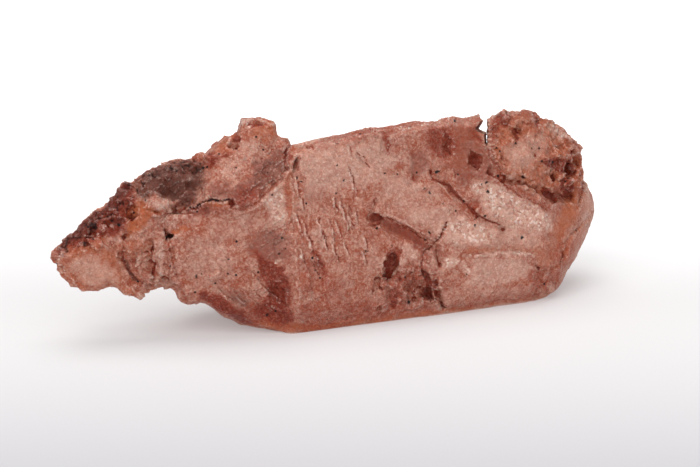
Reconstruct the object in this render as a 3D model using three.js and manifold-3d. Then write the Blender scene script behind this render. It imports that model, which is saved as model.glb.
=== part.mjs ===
// A single quartz crystal of the ice-etched, growth-interference kind: a squat hexagonal
// prism lying on one of its faces, with a long ragged termination that hangs clear of the
// surface at one end and a rounded, pitted knob at the other.
// Millimetres, +Z up. +X runs along the crystal's c axis from the tip to the far end,
// -Y is the broad front prism face, and the face it lies on is at Z = 0.
// Corners are given in hundredths of the three driving sizes: [along, across, up].
import * as THREE from "three";
import { ConvexGeometry } from "three/addons/geometries/ConvexGeometry.js";
import { mergeVertices } from "three/addons/utils/BufferGeometryUtils.js";
import Module from "manifold-3d";

const wasm = await Module();
wasm.setup();

// Driving sizes
const length = 78.4; // tip to far end, along the c axis
const depth = 22.0; // front prism face to back prism face
const height = 25.6; // from the face it lies on to the top edge of the prism

// How finely the skin is divided, and how rough it is
const skinEdge = 1.77;
const tipRings = 4; // rings that close the skin over the tip
const farRings = 10; // and over the far end
const swellSize = 7.5; // broad unevenness of the faces
const swellReach = 0.3;
const etchSize = 2.7; // pebbly etching of the tip, the crest and the knob
const etchReach = 0.55;
const faceEtchShare = 0.22; // how much of that etching the prism faces keep

const point = ([along, across, up]) =>
  new THREE.Vector3(
    (along / 100 - 0.5) * length,
    (across / 100) * depth,
    (up / 100) * height,
  );

// The prism's cross-section, as [across, up], from the front foot round over the top.
// The foot reaches below zero, and is cut off flat at the end
const prismSection = [
  [-36.2, -1.5],
  [-43.8, 12],
  [-47, 28],
  [-45.6, 42],
  [-29.5, 97],
  [-21, 99.3],
  [33, 83],
  [50, 41],
  [35.6, -1.5],
];
const frontProfile = prismSection.slice(0, 5);
const backProfile = prismSection.slice(6).reverse();
const sectionMiddle = [2, 49];
const ridge = 38.6; // where the front prism face meets the termination
const farEdge = 83; // where the prism face starts to round into the far end

// The top of the prism dips towards the termination
const topDip = 6.5;
const dipEnd = 54;
const dippedSection = prismSection.map(([across, up]) => [across, up > 80 ? up - topDip : up]);

// The line that the skin is felt for from, tip to far end
const spine = [
  [4.6, -1.5, 47.6],
  [18, 0, 52],
  [ridge, ...sectionMiddle],
  [86, ...sectionMiddle],
];

const station = (along, section) =>
  section.map(([across, up]) => [along, across, up]);

// Closed solids
function solidFrom(geometry) {
  const bare = geometry.clone();
  bare.deleteAttribute("normal");
  bare.deleteAttribute("uv");
  const merged = mergeVertices(bare, 1e-4);
  return new wasm.Manifold(
    new wasm.Mesh({
      numProp: 3,
      vertProperties: new Float32Array(merged.attributes.position.array),
      triVerts: new Uint32Array(merged.index.array),
    }),
  );
}

const hull = (points) => solidFrom(new ConvexGeometry(points));
const lobe = (...corners) => hull(corners.map(point));

// A repeatable stream of numbers from 0 to 1
function numberStream(seed) {
  let state = seed;
  return () => {
    state = (state * 1664525 + 1013904223) % 4294967296;
    return state / 4294967296;
  };
}

// Main growth forms
function prism() {
  return [
    ...station(ridge, dippedSection),
    ...station(dipEnd, prismSection),
    ...station(farEdge, prismSection),
  ];
}

function farEnd() {
  return [
    ...station(farEdge, prismSection),
    [86.1, -39.5, 3], // lower front bevel, where the end face starts
    [85.6, -36, 0],
    [88.2, -39, 19],
    [92.8, -27, 45],
    [95.4, -19, 35],
    [90.9, -22.5, 1.5],
    [93.1, -18, 8.6],
    [95.3, -13.5, 18.4],
    [99.8, -4.5, 30],
    [100.8, 1, 38],
    [99.6, 3, 50],
    [96.8, 0, 62],
    [97.5, 26, 44],
    [90, 38, 12],
    [86, 30, 0],
    [88, 36, 66],
  ];
}

function knob() {
  return [
    [76, -20, 98.8],
    [78.8, -20, 100.2],
    [81.6, -18, 99.6],
    [85.2, -16, 97],
    [87.5, -13.6, 93.2],
    [89.4, -13.6, 89.4],
    [91.7, -11.4, 85],
    [94.2, -9.1, 80.8],
    [95.5, -9.1, 75.6],
    [97.2, -6.8, 63.8],
    [98.9, -4.5, 50.5],
    [75.2, -33, 90],
    [74.4, -36.5, 82],
    [75.8, -42.5, 67],
    [84.9, -41, 51],
    [93, -25, 47],
    [80.3, -38, 81],
    [88.1, -31, 72],
    [76, 14, 92],
    [84, 18, 88],
    [92, 22, 70],
    [94, 20, 44],
    [78, 30, 70],
  ];
}

function termination() {
  return [
    ...station(ridge, dippedSection),
    [37.3, -31.2, 2.8], // underside, rising to the left
    [33.1, -22.7, 1.6],
    [31.5, -12, 2.2],
    [28.8, -13.6, 7.2],
    [24.7, -18.2, 14.5],
    [20.4, -20.5, 20.8],
    [18.2, -20.5, 25.4],
    [17.6, -27.3, 42.6], // left edge, a small step above the tip blade
    [17.5, -23, 56.1],
    [20.6, -25, 66.8], // upper edge, under the shoulder block
    [25.3, -29.5, 71],
    [32.9, -37, 73],
    [27.9, -38, 41],
    [22, 18, 56], // back
    [20, 14, 34],
    [28, 34, 62],
    [27, 30, 20],
    [31, 18, 3],
    [30, 10, 84],
  ];
}

function tipBlade() {
  return [
    [-0.3, -2, 48.7],
    [1.3, -1, 53.6],
    [5, 0, 59],
    [8.2, 0, 66.5],
    [12, 0, 76.4],
    [16.2, -1, 83.4],
    [22.7, -1, 85.5],
    [0.1, 0, 39.5],
    [2.9, -4.5, 29],
    [5.2, -8, 26.4],
    [11.7, -13.6, 26.6],
    [18.5, -16, 26.5],
    [17.3, -21.5, 56],
    [15.5, -16, 74],
    [8.4, -16, 53.7],
    [6.8, -15, 41],
    [3.8, -10, 45],
    [2, 5, 47], // back
    [8, 10, 36],
    [12, 15, 62],
    [20, 16, 74],
    [20, 18, 40],
  ];
}

function tipSpur() {
  return [
    [11, -13.5, 28],
    [13.1, -16, 22.4],
    [15.3, -16, 24.6],
    [12.3, -19, 36],
    [15.5, -20, 38],
    [13, -6, 26],
    [14, -8, 36],
  ];
}

function crest() {
  return [
    [10.6, -7, 73],
    [14, -5, 82],
    [17.4, -3, 86.8],
    [18.9, -3, 88.3],
    [20.4, -4, 86.6],
    [23.4, -3, 86.8],
    [27, -5, 89.4],
    [24, -21, 75],
    [16.5, -20, 70],
    [12, -16, 64],
    [15, 9, 78],
    [24, 12, 84],
    [28, 0, 80],
  ];
}

function shoulderBlock() {
  return [
    [26.6, -5, 89.4],
    [28, -9, 94.2],
    [29.8, -9.1, 98.6],
    [31.6, -11, 100.5],
    [38.4, -13.6, 99],
    [40.4, -14, 90.7],
    [39.4, -20, 85],
    [38.6, -31, 80.5],
    [32.9, -42, 73.4],
    [29.7, -42, 69],
    [28.1, -40, 70],
    [25, -33, 72.5],
    [22.4, -26, 71],
    [32.1, -26, 88.8],
    [27.7, -26, 84],
    [30, 12, 92],
    [37, 16, 90],
    [26, 6, 84],
    [37, 4, 70],
  ];
}

function shoulderNub() {
  return [
    [32.1, -13.6, 102],
    [32.8, -13.6, 106.2],
    [34.2, -13.6, 108.3],
    [38.4, -13.6, 107.4],
    [39.8, -13.6, 101],
    [30.5, -20, 94],
    [38.6, -23, 93],
    [32, 4, 104],
    [37, 5, 104],
    [31, 9, 94],
    [38.5, 8, 94],
  ];
}

// Two low hills on the back, whose flat faces meet at the crystal's own angles
function backHill() {
  return [
    [42, 41, 22],
    [43, 45, 58],
    [49, 40, 77],
    [60, 35, 81],
    [67, 43, 62],
    [65, 49, 36],
    [56, 45, 14],
    [51, 54, 49],
    [60, 53, 53],
    [52, 10, 50],
  ];
}

function backStep() {
  return [
    [67, 45, 24],
    [69, 50, 45],
    [76, 45, 66],
    [84, 41, 60],
    [86, 40, 38],
    [83, 38, 20],
    [74, 43, 12],
    [77, 53, 38],
    [76, 10, 40],
  ];
}

// The flat faces of a lobe, as planes that face outwards
function facesOf(corners) {
  const shape = new ConvexGeometry(corners.map(point)).getAttribute("position");
  return Array.from({ length: shape.count / 3 }, (_, i) =>
    new THREE.Plane().setFromCoplanarPoints(
      ...[0, 1, 2].map((j) => new THREE.Vector3().fromBufferAttribute(shape, i * 3 + j)),
    ),
  ).filter((face) => face.normal.lengthSq() > 0.5);
}

const growthForms = [
  prism(),
  farEnd(),
  knob(),
  termination(),
  tipBlade(),
  tipSpur(),
  crest(),
  shoulderBlock(),
  shoulderNub(),
  backHill(),
  backStep(),
].map(facesOf);

// How far out from a point the last of a lobe lies in one direction, or 0 where it is missed
function reachOf(faces, start, way) {
  let enter = -Infinity;
  let leave = Infinity;
  for (const face of faces) {
    const closing = face.normal.dot(way);
    const gap = -face.distanceToPoint(start);
    if (Math.abs(closing) < 1e-9) {
      if (gap < 0) return 0;
    } else if (closing > 0) leave = Math.min(leave, gap / closing);
    else enter = Math.max(enter, gap / closing);
  }
  return leave > enter && leave > 0 ? leave : 0;
}

// The point where a way out of the crystal leaves the last of its growth forms
function surfacePoint(middle, way) {
  const reach = Math.max(...growthForms.map((faces) => reachOf(faces, middle, way)));
  return middle.clone().addScaledVector(way, reach);
}

function spineAt(along) {
  const next = Math.max(1, spine.findIndex((stop) => stop[0] >= along));
  const share = (along - spine[next - 1][0]) / (spine[next][0] - spine[next - 1][0]);
  return point(spine[next - 1]).lerp(point(spine[next]), share);
}

// A place on the surface: how far along it is, how many degrees it is turned up from the
// front, and how many degrees it leans towards the far end
function placeOn([along, turn, lean = 0]) {
  const [up, over] = [turn, lean].map(THREE.MathUtils.degToRad);
  const out = new THREE.Vector3(0, -Math.cos(up), Math.sin(up)).multiplyScalar(Math.cos(over));
  out.x = Math.sin(over);
  return { spot: surfacePoint(spineAt(along), out), out };
}

// Smooth noise from -1 to 1 on a lattice
function latticeValue(x, y, z, seed) {
  const wave = Math.sin(x * 127.1 + y * 311.7 + z * 74.7 + seed * 53.3) * 43758.5453;
  return 2 * (wave - Math.floor(wave)) - 1;
}

function noise(p, size, seed) {
  const at = [p.x / size, p.y / size, p.z / size];
  const cell = at.map(Math.floor);
  const ease = at.map((v, i) => {
    const t = v - cell[i];
    return t * t * (3 - 2 * t);
  });
  let sum = 0;
  for (const i of [0, 1])
    for (const j of [0, 1])
      for (const k of [0, 1]) {
        const share =
          (i ? ease[0] : 1 - ease[0]) *
          (j ? ease[1] : 1 - ease[1]) *
          (k ? ease[2] : 1 - ease[2]);
        sum += share * latticeValue(cell[0] + i, cell[1] + j, cell[2] + k, seed);
      }
  return sum;
}

// Etching is coarse on the tip, the top edge and the knob, and faint on the prism faces
function etchShare(p) {
  const along = p.x / length + 0.5;
  const up = p.z / height;
  const tip = THREE.MathUtils.smoothstep(0.36 - along, 0, 0.1);
  const far = THREE.MathUtils.smoothstep(along, 0.74, 0.82) * THREE.MathUtils.smoothstep(up, 0.35, 0.6);
  const top = THREE.MathUtils.smoothstep(up, 0.9, 0.97);
  return Math.max(tip * 0.85, far, top * 0.8, faceEtchShare);
}

// The ways out of the spine, through evenly spaced points of the prism's cross-section,
// so that the skin has a line of points along every prism edge
function waysRound() {
  const middle = point([0, ...sectionMiddle]);
  return prismSection.flatMap((corner, i) => {
    const from = point([0, ...corner]);
    const to = point([0, ...prismSection[(i + 1) % prismSection.length]]);
    const steps = Math.max(1, Math.round(from.distanceTo(to) / skinEdge));
    return Array.from({ length: steps }, (_, k) =>
      from.clone().lerp(to, k / steps).sub(middle).setX(0).normalize(),
    );
  });
}

// Stops along the spine. Each has a middle, and how far its ring of ways leans to the ends
function spineStops() {
  const corners = spine.map(point);
  const stops = [];
  const fan = (middle, end, count) =>
    Array.from({ length: count }, (_, i) => ({
      middle,
      lean: end * (Math.PI / 2) * ((i + 1) / (count + 1)),
    }));
  stops.push(...fan(corners[0], -1, tipRings).reverse());
  for (let i = 1; i < corners.length; i++) {
    const steps = Math.round(corners[i].distanceTo(corners[i - 1]) / skinEdge);
    for (let k = i === 1 ? 0 : 1; k <= steps; k++)
      stops.push({ middle: corners[i - 1].clone().lerp(corners[i], k / steps), lean: 0 });
  }
  stops.push(...fan(corners.at(-1), 1, farRings));
  return stops;
}

// One skin over all the growth forms, felt for outwards from the spine and roughened
function skin() {
  const skinPoint = (middle, way) => {
    const smooth = surfacePoint(middle, way);
    const swell = noise(smooth, swellSize, 3) * swellReach;
    const etch = noise(smooth, etchSize, 17) * etchReach * etchShare(smooth);
    return smooth.addScaledVector(way, swell + etch);
  };
  const ways = waysRound();
  const around = ways.length;
  const stops = spineStops();
  const points = stops.flatMap(({ middle, lean }) =>
    ways.map((way) =>
      skinPoint(middle, way.clone().multiplyScalar(Math.cos(lean)).setX(Math.sin(lean))),
    ),
  );
  const tip = points.push(skinPoint(stops[0].middle, new THREE.Vector3(-1, 0, 0))) - 1;
  const end = points.push(skinPoint(stops.at(-1).middle, new THREE.Vector3(1, 0, 0))) - 1;
  const faces = [];
  for (let k = 0; k < around; k++) {
    const next = (k + 1) % around;
    for (let i = 0; i + 1 < stops.length; i++) {
      const [a, b] = [i * around + k, i * around + next];
      faces.push(a, a + around, b, b, a + around, b + around);
    }
    const last = (stops.length - 1) * around;
    faces.push(k, next, tip, last + next, last + k, end);
  }
  const geometry = new THREE.BufferGeometry();
  geometry.setAttribute(
    "position",
    new THREE.Float32BufferAttribute(points.flatMap((p) => p.toArray()), 3),
  );
  geometry.setIndex(faces);
  return solidFrom(geometry);
}

// How far across a prism face lies at a height, in hundredths of the depth
function acrossAt(side, up) {
  const profile = side < 0 ? frontProfile : backProfile;
  const over = profile.findIndex((corner, i) => i > 0 && up <= corner[1]);
  const next = over < 0 ? profile.length - 1 : over;
  const [low, high] = [profile[next - 1], profile[next]];
  return low[0] + ((up - low[1]) / (high[1] - low[1])) * (high[0] - low[0]);
}

// One ring of a shape laid on a prism face, scaled about its middle and sunk into the face
function faceRing(outline, side, scale, sinkMm) {
  const middle = [0, 1].map(
    (i) => outline.reduce((sum, corner) => sum + corner[i], 0) / outline.length,
  );
  const sink = (-side * sinkMm * 100) / depth;
  return outline.map((corner) => {
    const along = middle[0] + (corner[0] - middle[0]) * scale;
    const up = middle[1] + (corner[1] - middle[1]) * scale;
    return point([along, acrossAt(side, up) + sink, up]);
  });
}

const front = -1;
const back = 1;

// An etch pit with a flat floor and leaning walls; outline is [along, up] on the face
function pit(outline, deepMm, side = front) {
  return hull([
    ...faceRing(outline, side, 1.25, -1),
    ...faceRing(outline, side, 0.72, deepMm),
  ]);
}

// A thin growth plate left standing on a face
function plate(outline, proudMm, side = front) {
  return hull([
    ...faceRing(outline, side, 1.06, 1),
    ...faceRing(outline, side, 0.9, -proudMm),
  ]);
}

// A V-shaped cut that follows a line of surface places, each a spot and the way out from it
function furrow(line, wideMm, deepMm) {
  return line.slice(1).map((end, i) => {
    const start = line[i];
    const run = end.spot.clone().sub(start.spot).normalize();
    return hull(
      [start, end].flatMap(({ spot, out }) => {
        const sideways = new THREE.Vector3().crossVectors(run, out).setLength(wideMm * 0.9);
        const lead = run.clone().multiplyScalar((spot === start.spot ? -1 : 1) * wideMm * 0.25);
        const proud = spot.clone().add(lead).addScaledVector(out, 1);
        return [
          proud.clone().add(sideways),
          proud.clone().sub(sideways),
          spot.clone().add(lead).addScaledVector(out, -deepMm),
        ];
      }),
    );
  });
}

const faceFurrow = (line, wideMm, deepMm, side = front) =>
  furrow(
    line.map(([along, up]) => ({
      spot: point([along, acrossAt(side, up), up]),
      out: new THREE.Vector3(0, side, 0),
    })),
    wideMm,
    deepMm,
  );

// A hollow with an uneven five-cornered rim and a smaller floor, anywhere on the surface
function gouge(place, longMm, wideMm, deepMm, slew = 0) {
  const { spot, out } = placeOn(place);
  const random = numberStream(Math.round(place[0] * 97 + Math.abs(place[1]) * 31));
  const lengthways = new THREE.Vector3(1, 0, 0).projectOnPlane(out).normalize();
  lengthways.applyAxisAngle(out, THREE.MathUtils.degToRad(slew));
  const sideways = new THREE.Vector3().crossVectors(out, lengthways);
  const ring = (scale, height) =>
    Array.from({ length: 5 }, (_, k) => {
      const angle = (k / 5) * 2 * Math.PI;
      const wander = scale * (0.75 + 0.4 * random());
      return spot
        .clone()
        .addScaledVector(lengthways, (Math.cos(angle) * wander * longMm) / 2)
        .addScaledVector(sideways, (Math.sin(angle) * wander * wideMm) / 2)
        .addScaledVector(out, height);
    });
  return hull([...ring(1.3, 1.2), ...ring(0.5, -deepMm)]);
}

// Etch pits, troughs and chips of the front face
function frontCuts() {
  const slantingGroove = [[63.7, 75.4], [66.1, 69.8], [67.2, 64.4], [69.4, 55.7], [73.4, 46.4], [76.3, 42.8]];
  return [
    pit([[51.2, 56.8], [52.2, 58.9], [54.4, 55.5], [52.4, 52]], 1.0),
    pit([[53.4, 34.5], [55.9, 38.6], [56.8, 27], [54.2, 20]], 1.3),
    pit([[71.1, 82.7], [73.6, 81.2], [73.2, 72.6], [70.7, 75.8]], 1.6),
    pit([[66.4, 92.6], [68.2, 91], [67.8, 79.4], [66.3, 81]], 1.2),
    pit([[57.5, 20], [62.5, 24], [64, 12], [58.5, 7]], 1.0),
    pit([[51.8, 27], [53.4, 29], [53, 17], [51.4, 16]], 0.7),
    pit([[39.9, 41], [42.6, 37], [42.6, 21], [40.2, 24]], 0.6),
    pit([[60.3, 87], [63.8, 84], [62.9, 68], [59.8, 71]], 0.5),
    pit([[55.3, 95.5], [57, 94], [56.4, 83.4], [54.7, 85.5]], 0.6),
    ...faceFurrow([[54.5, 53.4], [59.6, 46], [63.4, 38], [64.2, 28.5]], 1.6, 1.2),
    ...faceFurrow(slantingGroove, 0.9, 0.9),
    ...faceFurrow([[65.7, 50.4], [64.2, 43], [62.7, 39.4]], 0.8, 0.8),
    ...faceFurrow([[60.8, 25.7], [63.4, 16.6], [65.7, 4]], 0.9, 0.9),
    ...faceFurrow([[51.9, 57.5], [53.3, 64.9]], 0.6, 0.7),
    ...faceFurrow([[50.5, 88.5], [52.3, 82]], 0.6, 0.6),
  ];
}

// The undercut below the knob, and the hollows of the knob itself
function knobCuts() {
  const undercut = [[74.6, 36], [77.5, 27], [81, 24], [85, 14], [86, 8, 24], [86, 4, 40]];
  return [
    ...furrow(undercut.map(placeOn), 1.5, 1.1),
    gouge([77.4, 42], 2.2, 3.2, 1.2),
    gouge([81, 55], 3.4, 2.2, 1.2, 30),
    gouge([80.5, 33], 2.4, 1.6, 1, 60),
    gouge([83.6, 44], 2.6, 2, 1.3, 20),
    gouge([86, 30, 8], 3.4, 2, 1.4, 70),
    gouge([86, 54, 20], 2.6, 2, 1.1, 40),
    gouge([86, 34, 32], 3.6, 3, 1.5, 10),
    gouge([86, 50, 48], 2.8, 2.2, 1.1, 0),
    gouge([82, 86], 3, 2.6, 1.2, 20),
    gouge([86, 84, 16], 2.8, 2.4, 1.1, 0),
    gouge([86, -36, 12], 2.4, 1.6, 0.9, 60),
  ];
}

// The slot that parts the knob from the prism, and the bite out of its near wall
const slotSlant = [15.9, 110, -25]; // from the front opening to the back one
function notch() {
  const slantCut = (...opening) =>
    lobe(...opening, ...opening.map((corner) => corner.map((value, i) => value + slotSlant[i])));
  return [
    slantCut([69.4, -60, 111], [70.9, -60, 111], [70.2, -60, 91.4], [70.8, -60, 91]),
    slantCut([69.4, -60, 105.6], [68.4, -60, 101.2], [69.8, -60, 97.6], [70.3, -60, 102]),
  ];
}

// The open crack under the shoulder block, deepest in its middle, and the nick that parts
// the block from the prism
function shoulderCrack() {
  const thinEnd = [[22, -45, 67.6], [22, -45, 66.4], [22, -20, 67]];
  const middle = [[27.4, -52, 73.4], [27.4, -52, 69.8], [27.4, -22, 71.5]];
  const farTip = [[29.6, -54, 72], [29.6, -54, 69.4], [29.6, -30, 70.5]];
  const nickTop = [[39.2, -40, 86], [41, -40, 88.5], [39.8, -10, 86.4], [40.6, -12, 92]];
  const nickFoot = [[40.4, -40, 82], [38.8, -40, 82], [39.4, -12, 82]];
  return [
    lobe(...thinEnd, ...middle),
    lobe(...middle, ...farTip),
    lobe(...nickTop, ...nickFoot),
  ];
}

// The hollows of the termination and the tip blade
function tipCuts() {
  return [
    gouge([19.5, 60], 4.6, 3, 1.4, 10),
    gouge([23.2, 62], 3.2, 2.2, 1.1, -20),
    gouge([6, 52], 2, 1.8, 0.8),
    gouge([9, 60], 2.2, 1.8, 0.9, 30),
    gouge([12.6, 52], 2.6, 2, 1.1, 60),
    gouge([11.2, 22], 1.8, 2.2, 0.7, 20),
    gouge([17.8, 12], 1.6, 3.2, 1.1, 0),
    gouge([30.4, 74], 2.2, 1.4, 0.9, 0),
    gouge([35, 54], 3.2, 2, 0.9, 60),
    gouge([34.6, -34], 2.4, 4.6, 1, 20),
    ...furrow([[10.2, -8], [12.3, -36], [13.2, -50]].map(placeOn), 1.2, 0.9),
    ...furrow([[18.1, -6], [18.4, -24], [19.2, -40]].map(placeOn), 0.8, 0.7),
    ...furrow([[29.6, 6], [32, -10], [34.6, -26]].map(placeOn), 0.7, 0.5),
  ];
}

// Growth plates left standing on the back
function plates() {
  return [
    plate([[45, 72], [51, 77], [58, 75], [62, 66], [57, 57], [48, 60]], 1.0, back),
    plate([[70, 66], [75, 73], [82, 69], [83, 57], [76, 52]], 0.9, back),
    plate([[40, 26], [45, 34], [53, 31], [55, 17], [44, 10]], 0.7, back),
  ];
}

// The hollows of the back, the top and the back of the termination
function backCuts() {
  return [
    gouge([42, 142], 4.4, 3.2, 1.3, 20),
    gouge([50, 170], 5, 2.6, 1.6, 40),
    gouge([64, 184], 5.6, 3, 1.6, -30),
    gouge([66, 150], 3.6, 2.6, 1.3, 60),
    gouge([79, 188], 4, 3, 1.3, 0),
    gouge([55, 202], 4.4, 2.8, 1.2, 30),
    gouge([61, 98], 5, 2.6, 1.4, 20),
    gouge([47, 114], 4.2, 3.2, 1.4, -30),
    gouge([71, 122], 3.6, 2.6, 1.2, 40),
    gouge([54, 88], 2.6, 1.6, 0.8, 0),
    gouge([86, 140, 20], 4.4, 3, 1.5, 20),
    gouge([86, 186, 30], 4, 3, 1.4, 70),
    gouge([86, 222, 26], 3.6, 2.4, 1, 20),
    gouge([28, 130], 4.2, 3, 1.3, 20),
    gouge([33, 168], 3.6, 3, 1.2, 60),
    gouge([20, 160], 4.4, 2.6, 1.3, 0),
    gouge([26, 205], 3.6, 2.6, 1.1, 20),
    ...furrow([[40, 178], [47, 186], [57, 178], [63, 166]].map(placeOn), 1.3, 1.2),
    ...furrow([[69, 146], [73, 158], [81, 172]].map(placeOn), 1.2, 1.2),
  ];
}

// One small rhombohedral grain, turned at random and a little worn, sunk into the surface
function grain(place, sizeMm, random) {
  const { spot, out } = placeOn(place);
  const middle = spot.addScaledVector(out, -0.22 * sizeMm);
  const turn = new THREE.Euler(random() * 3, random() * 3, random() * 3);
  const corners = [];
  for (const x of [-1, 1])
    for (const y of [-1, 1])
      for (const z of [-1, 1]) {
        const wear = (0.7 + 0.4 * random()) * (sizeMm / 2);
        const corner = new THREE.Vector3(x + 0.35 * z, y * 0.9, z * 0.75);
        corners.push(corner.multiplyScalar(wear).applyEuler(turn).add(middle));
      }
  return hull(corners);
}

// Grains scattered over a patch of the surface between two places
function grainPatch(from, to, count, sizeMm, seed) {
  const random = numberStream(seed);
  return Array.from({ length: count }, () => {
    const place = from.map((value, i) => value + random() * (to[i] - value));
    return grain(place, sizeMm * (0.7 + 0.6 * random()), random);
  });
}

function grains() {
  return [
    ...grainPatch([5, 40, 0], [17, 90, 0], 7, 1.9, 11),
    ...grainPatch([17, 70, 0], [27, 92, 0], 4, 2.0, 23),
    ...grainPatch([12, -60, 0], [33, -30, 0], 4, 1.8, 41),
    ...grainPatch([78, 30, 0], [86, 74, 0], 7, 2.3, 37),
    ...grainPatch([86, 10, 10], [86, 76, 60], 6, 2.4, 47),
    ...grainPatch([79, 84, 0], [86, 130, 0], 4, 2.6, 53),
    ...grainPatch([12, 110, 0], [34, 190, 0], 5, 2.4, 59),
    ...grainPatch([46, 130, 0], [80, 190, 0], 3, 2.4, 71),
  ];
}

// Cuts the foot off flat, so that the crystal lies on a true prism face
function lyingOnItsFace(solid) {
  const room = 4 * length;
  const above = new THREE.BoxGeometry(room, room, room).translate(0, 0, room / 2);
  return solid.intersect(solidFrom(above));
}

function quartzGeometry() {
  const skinned = [...plates(), ...grains()].reduce(
    (whole, form) => whole.add(form),
    skin(),
  );
  const etched = [
    ...frontCuts(),
    ...knobCuts(),
    ...notch(),
    ...shoulderCrack(),
    ...tipCuts(),
    ...backCuts(),
  ].reduce((whole, cut) => whole.subtract(cut), skinned);
  const whole = lyingOnItsFace(etched);
  const largest = whole
    .decompose()
    .reduce((best, body) => (body.volume() > best.volume() ? body : best));
  const mesh = largest.getMesh();
  const geometry = new THREE.BufferGeometry();
  geometry.setAttribute(
    "position",
    new THREE.BufferAttribute(new Float32Array(mesh.vertProperties), 3),
  );
  geometry.setIndex(new THREE.BufferAttribute(new Uint32Array(mesh.triVerts), 1));
  geometry.computeBoundingBox();
  const middle = geometry.boundingBox.getCenter(new THREE.Vector3());
  geometry.translate(-middle.x, -middle.y, 0);
  geometry.computeVertexNormals();
  return geometry;
}

const quartz = new THREE.Mesh(
  quartzGeometry(),
  new THREE.MeshStandardMaterial({
    color: 0xae7564,
    roughness: 0.55,
    metalness: 0,
    flatShading: true,
  }),
);
quartz.name = "quartz_crystal";

const crystal = new THREE.Group();
crystal.add(quartz);

export default crystal;
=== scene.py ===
import math
import bpy
import numpy as np
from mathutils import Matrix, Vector


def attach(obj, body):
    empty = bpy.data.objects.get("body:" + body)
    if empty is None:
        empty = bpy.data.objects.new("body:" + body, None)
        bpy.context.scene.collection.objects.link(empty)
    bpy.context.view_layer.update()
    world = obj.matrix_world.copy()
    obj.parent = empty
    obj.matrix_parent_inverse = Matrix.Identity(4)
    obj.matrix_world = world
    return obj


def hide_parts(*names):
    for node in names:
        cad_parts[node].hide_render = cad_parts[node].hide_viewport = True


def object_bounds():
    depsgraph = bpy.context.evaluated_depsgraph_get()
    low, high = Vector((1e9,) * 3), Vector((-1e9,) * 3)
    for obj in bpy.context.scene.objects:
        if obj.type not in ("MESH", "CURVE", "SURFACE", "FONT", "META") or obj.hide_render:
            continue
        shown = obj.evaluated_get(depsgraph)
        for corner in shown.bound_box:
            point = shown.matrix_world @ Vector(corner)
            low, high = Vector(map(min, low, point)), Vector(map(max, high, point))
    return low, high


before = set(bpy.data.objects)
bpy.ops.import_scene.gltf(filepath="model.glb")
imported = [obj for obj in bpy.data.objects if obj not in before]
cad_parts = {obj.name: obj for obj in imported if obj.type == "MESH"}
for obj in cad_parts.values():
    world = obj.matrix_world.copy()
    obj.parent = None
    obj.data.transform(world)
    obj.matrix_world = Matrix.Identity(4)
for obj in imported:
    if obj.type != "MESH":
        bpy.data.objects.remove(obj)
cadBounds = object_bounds()
print("frame loaded, CAD box", cadBounds)

mm = 0.001
scene = bpy.context.scene


# Camera at the photograph's viewing angle

shot = {
    "azimuth": -25.0,           # degrees round from square on to the broad front face
    "elevation": 15.0,          # degrees above level
    "distance": 450.0,          # mm from the aim to the lens
    "aim": (2.58, -0.69, 10.1),  # mm
    "frameWidth": 92.4,         # mm across the picture at the aim
    "pictureWide": 700,         # pixels
    "pictureHigh": 467,
    "sensor": 36.0,
}


def shotAxes():
    turn = math.radians(shot["azimuth"])
    rise = math.radians(shot["elevation"])
    toLens = np.array([math.sin(turn) * math.cos(rise), -math.cos(turn) * math.cos(rise), math.sin(rise)])
    right = np.array([math.cos(turn), math.sin(turn), 0.0])
    return toLens, right, np.cross(toLens, right)


def makeCamera():
    toLens = shotAxes()[0]
    data = bpy.data.cameras.new("camera")
    data.sensor_fit = "HORIZONTAL"
    data.sensor_width = shot["sensor"]
    data.lens = shot["sensor"] * shot["distance"] / shot["frameWidth"]
    data.clip_start = 0.01
    data.clip_end = 20
    camera = bpy.data.objects.new("camera", data)
    scene.collection.objects.link(camera)
    camera.location = Vector(shot["aim"]) * mm + Vector(toLens) * shot["distance"] * mm
    camera.rotation_euler = Vector(toLens).to_track_quat("Z", "Y").to_euler()
    scene.camera = camera


makeCamera()
print("camera placed")


# Number fields that the relief is made from. Points are in mm, and each field runs from -1 to 1

def ease(value, low, high):
    share = np.clip((value - low) / (high - low), 0, 1)
    return share * share * (3 - 2 * share)


def scramble(cell, seed):
    # one repeatable number from 0 to 1 for each cell of a lattice
    mixed = cell[:, 0] * 73856093 ^ cell[:, 1] * 19349663 ^ cell[:, 2] * 83492791 ^ (seed * 40503 + 977)
    mixed = (mixed & 0xFFFFFFFF).astype(np.uint64)
    for shift, factor in ((16, 0x7FEB352D), (15, 0x846CA68B)):
        mixed = ((mixed ^ (mixed >> np.uint64(shift))) * np.uint64(factor)) & np.uint64(0xFFFFFFFF)
    return (mixed ^ (mixed >> np.uint64(16))).astype(np.float64) / 4294967296.0


def waves(points, size, seed):
    # smooth gradient noise
    place = points / size
    cell = np.floor(place).astype(np.int64)
    part = place - cell
    fade = part * part * part * (part * (part * 6 - 15) + 10)
    total = np.zeros(len(points))
    for i in (0, 1):
        for j in (0, 1):
            for k in (0, 1):
                corner = cell + (i, j, k)
                toPoint = part - (i, j, k)
                slope = sum((scramble(corner, seed + 7 * axis) - 0.5) * toPoint[:, axis] for axis in range(3))
                share = (np.where(i, fade[:, 0], 1 - fade[:, 0]) * np.where(j, fade[:, 1], 1 - fade[:, 1])
                         * np.where(k, fade[:, 2], 1 - fade[:, 2]))
                total += slope * share
    return np.clip(total * 2.6, -1, 1)


def layeredWaves(points, size, seed, layers=3):
    return sum(waves(points, size / 2 ** i, seed + 31 * i) / 2 ** i for i in range(layers)) / 1.6


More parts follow.
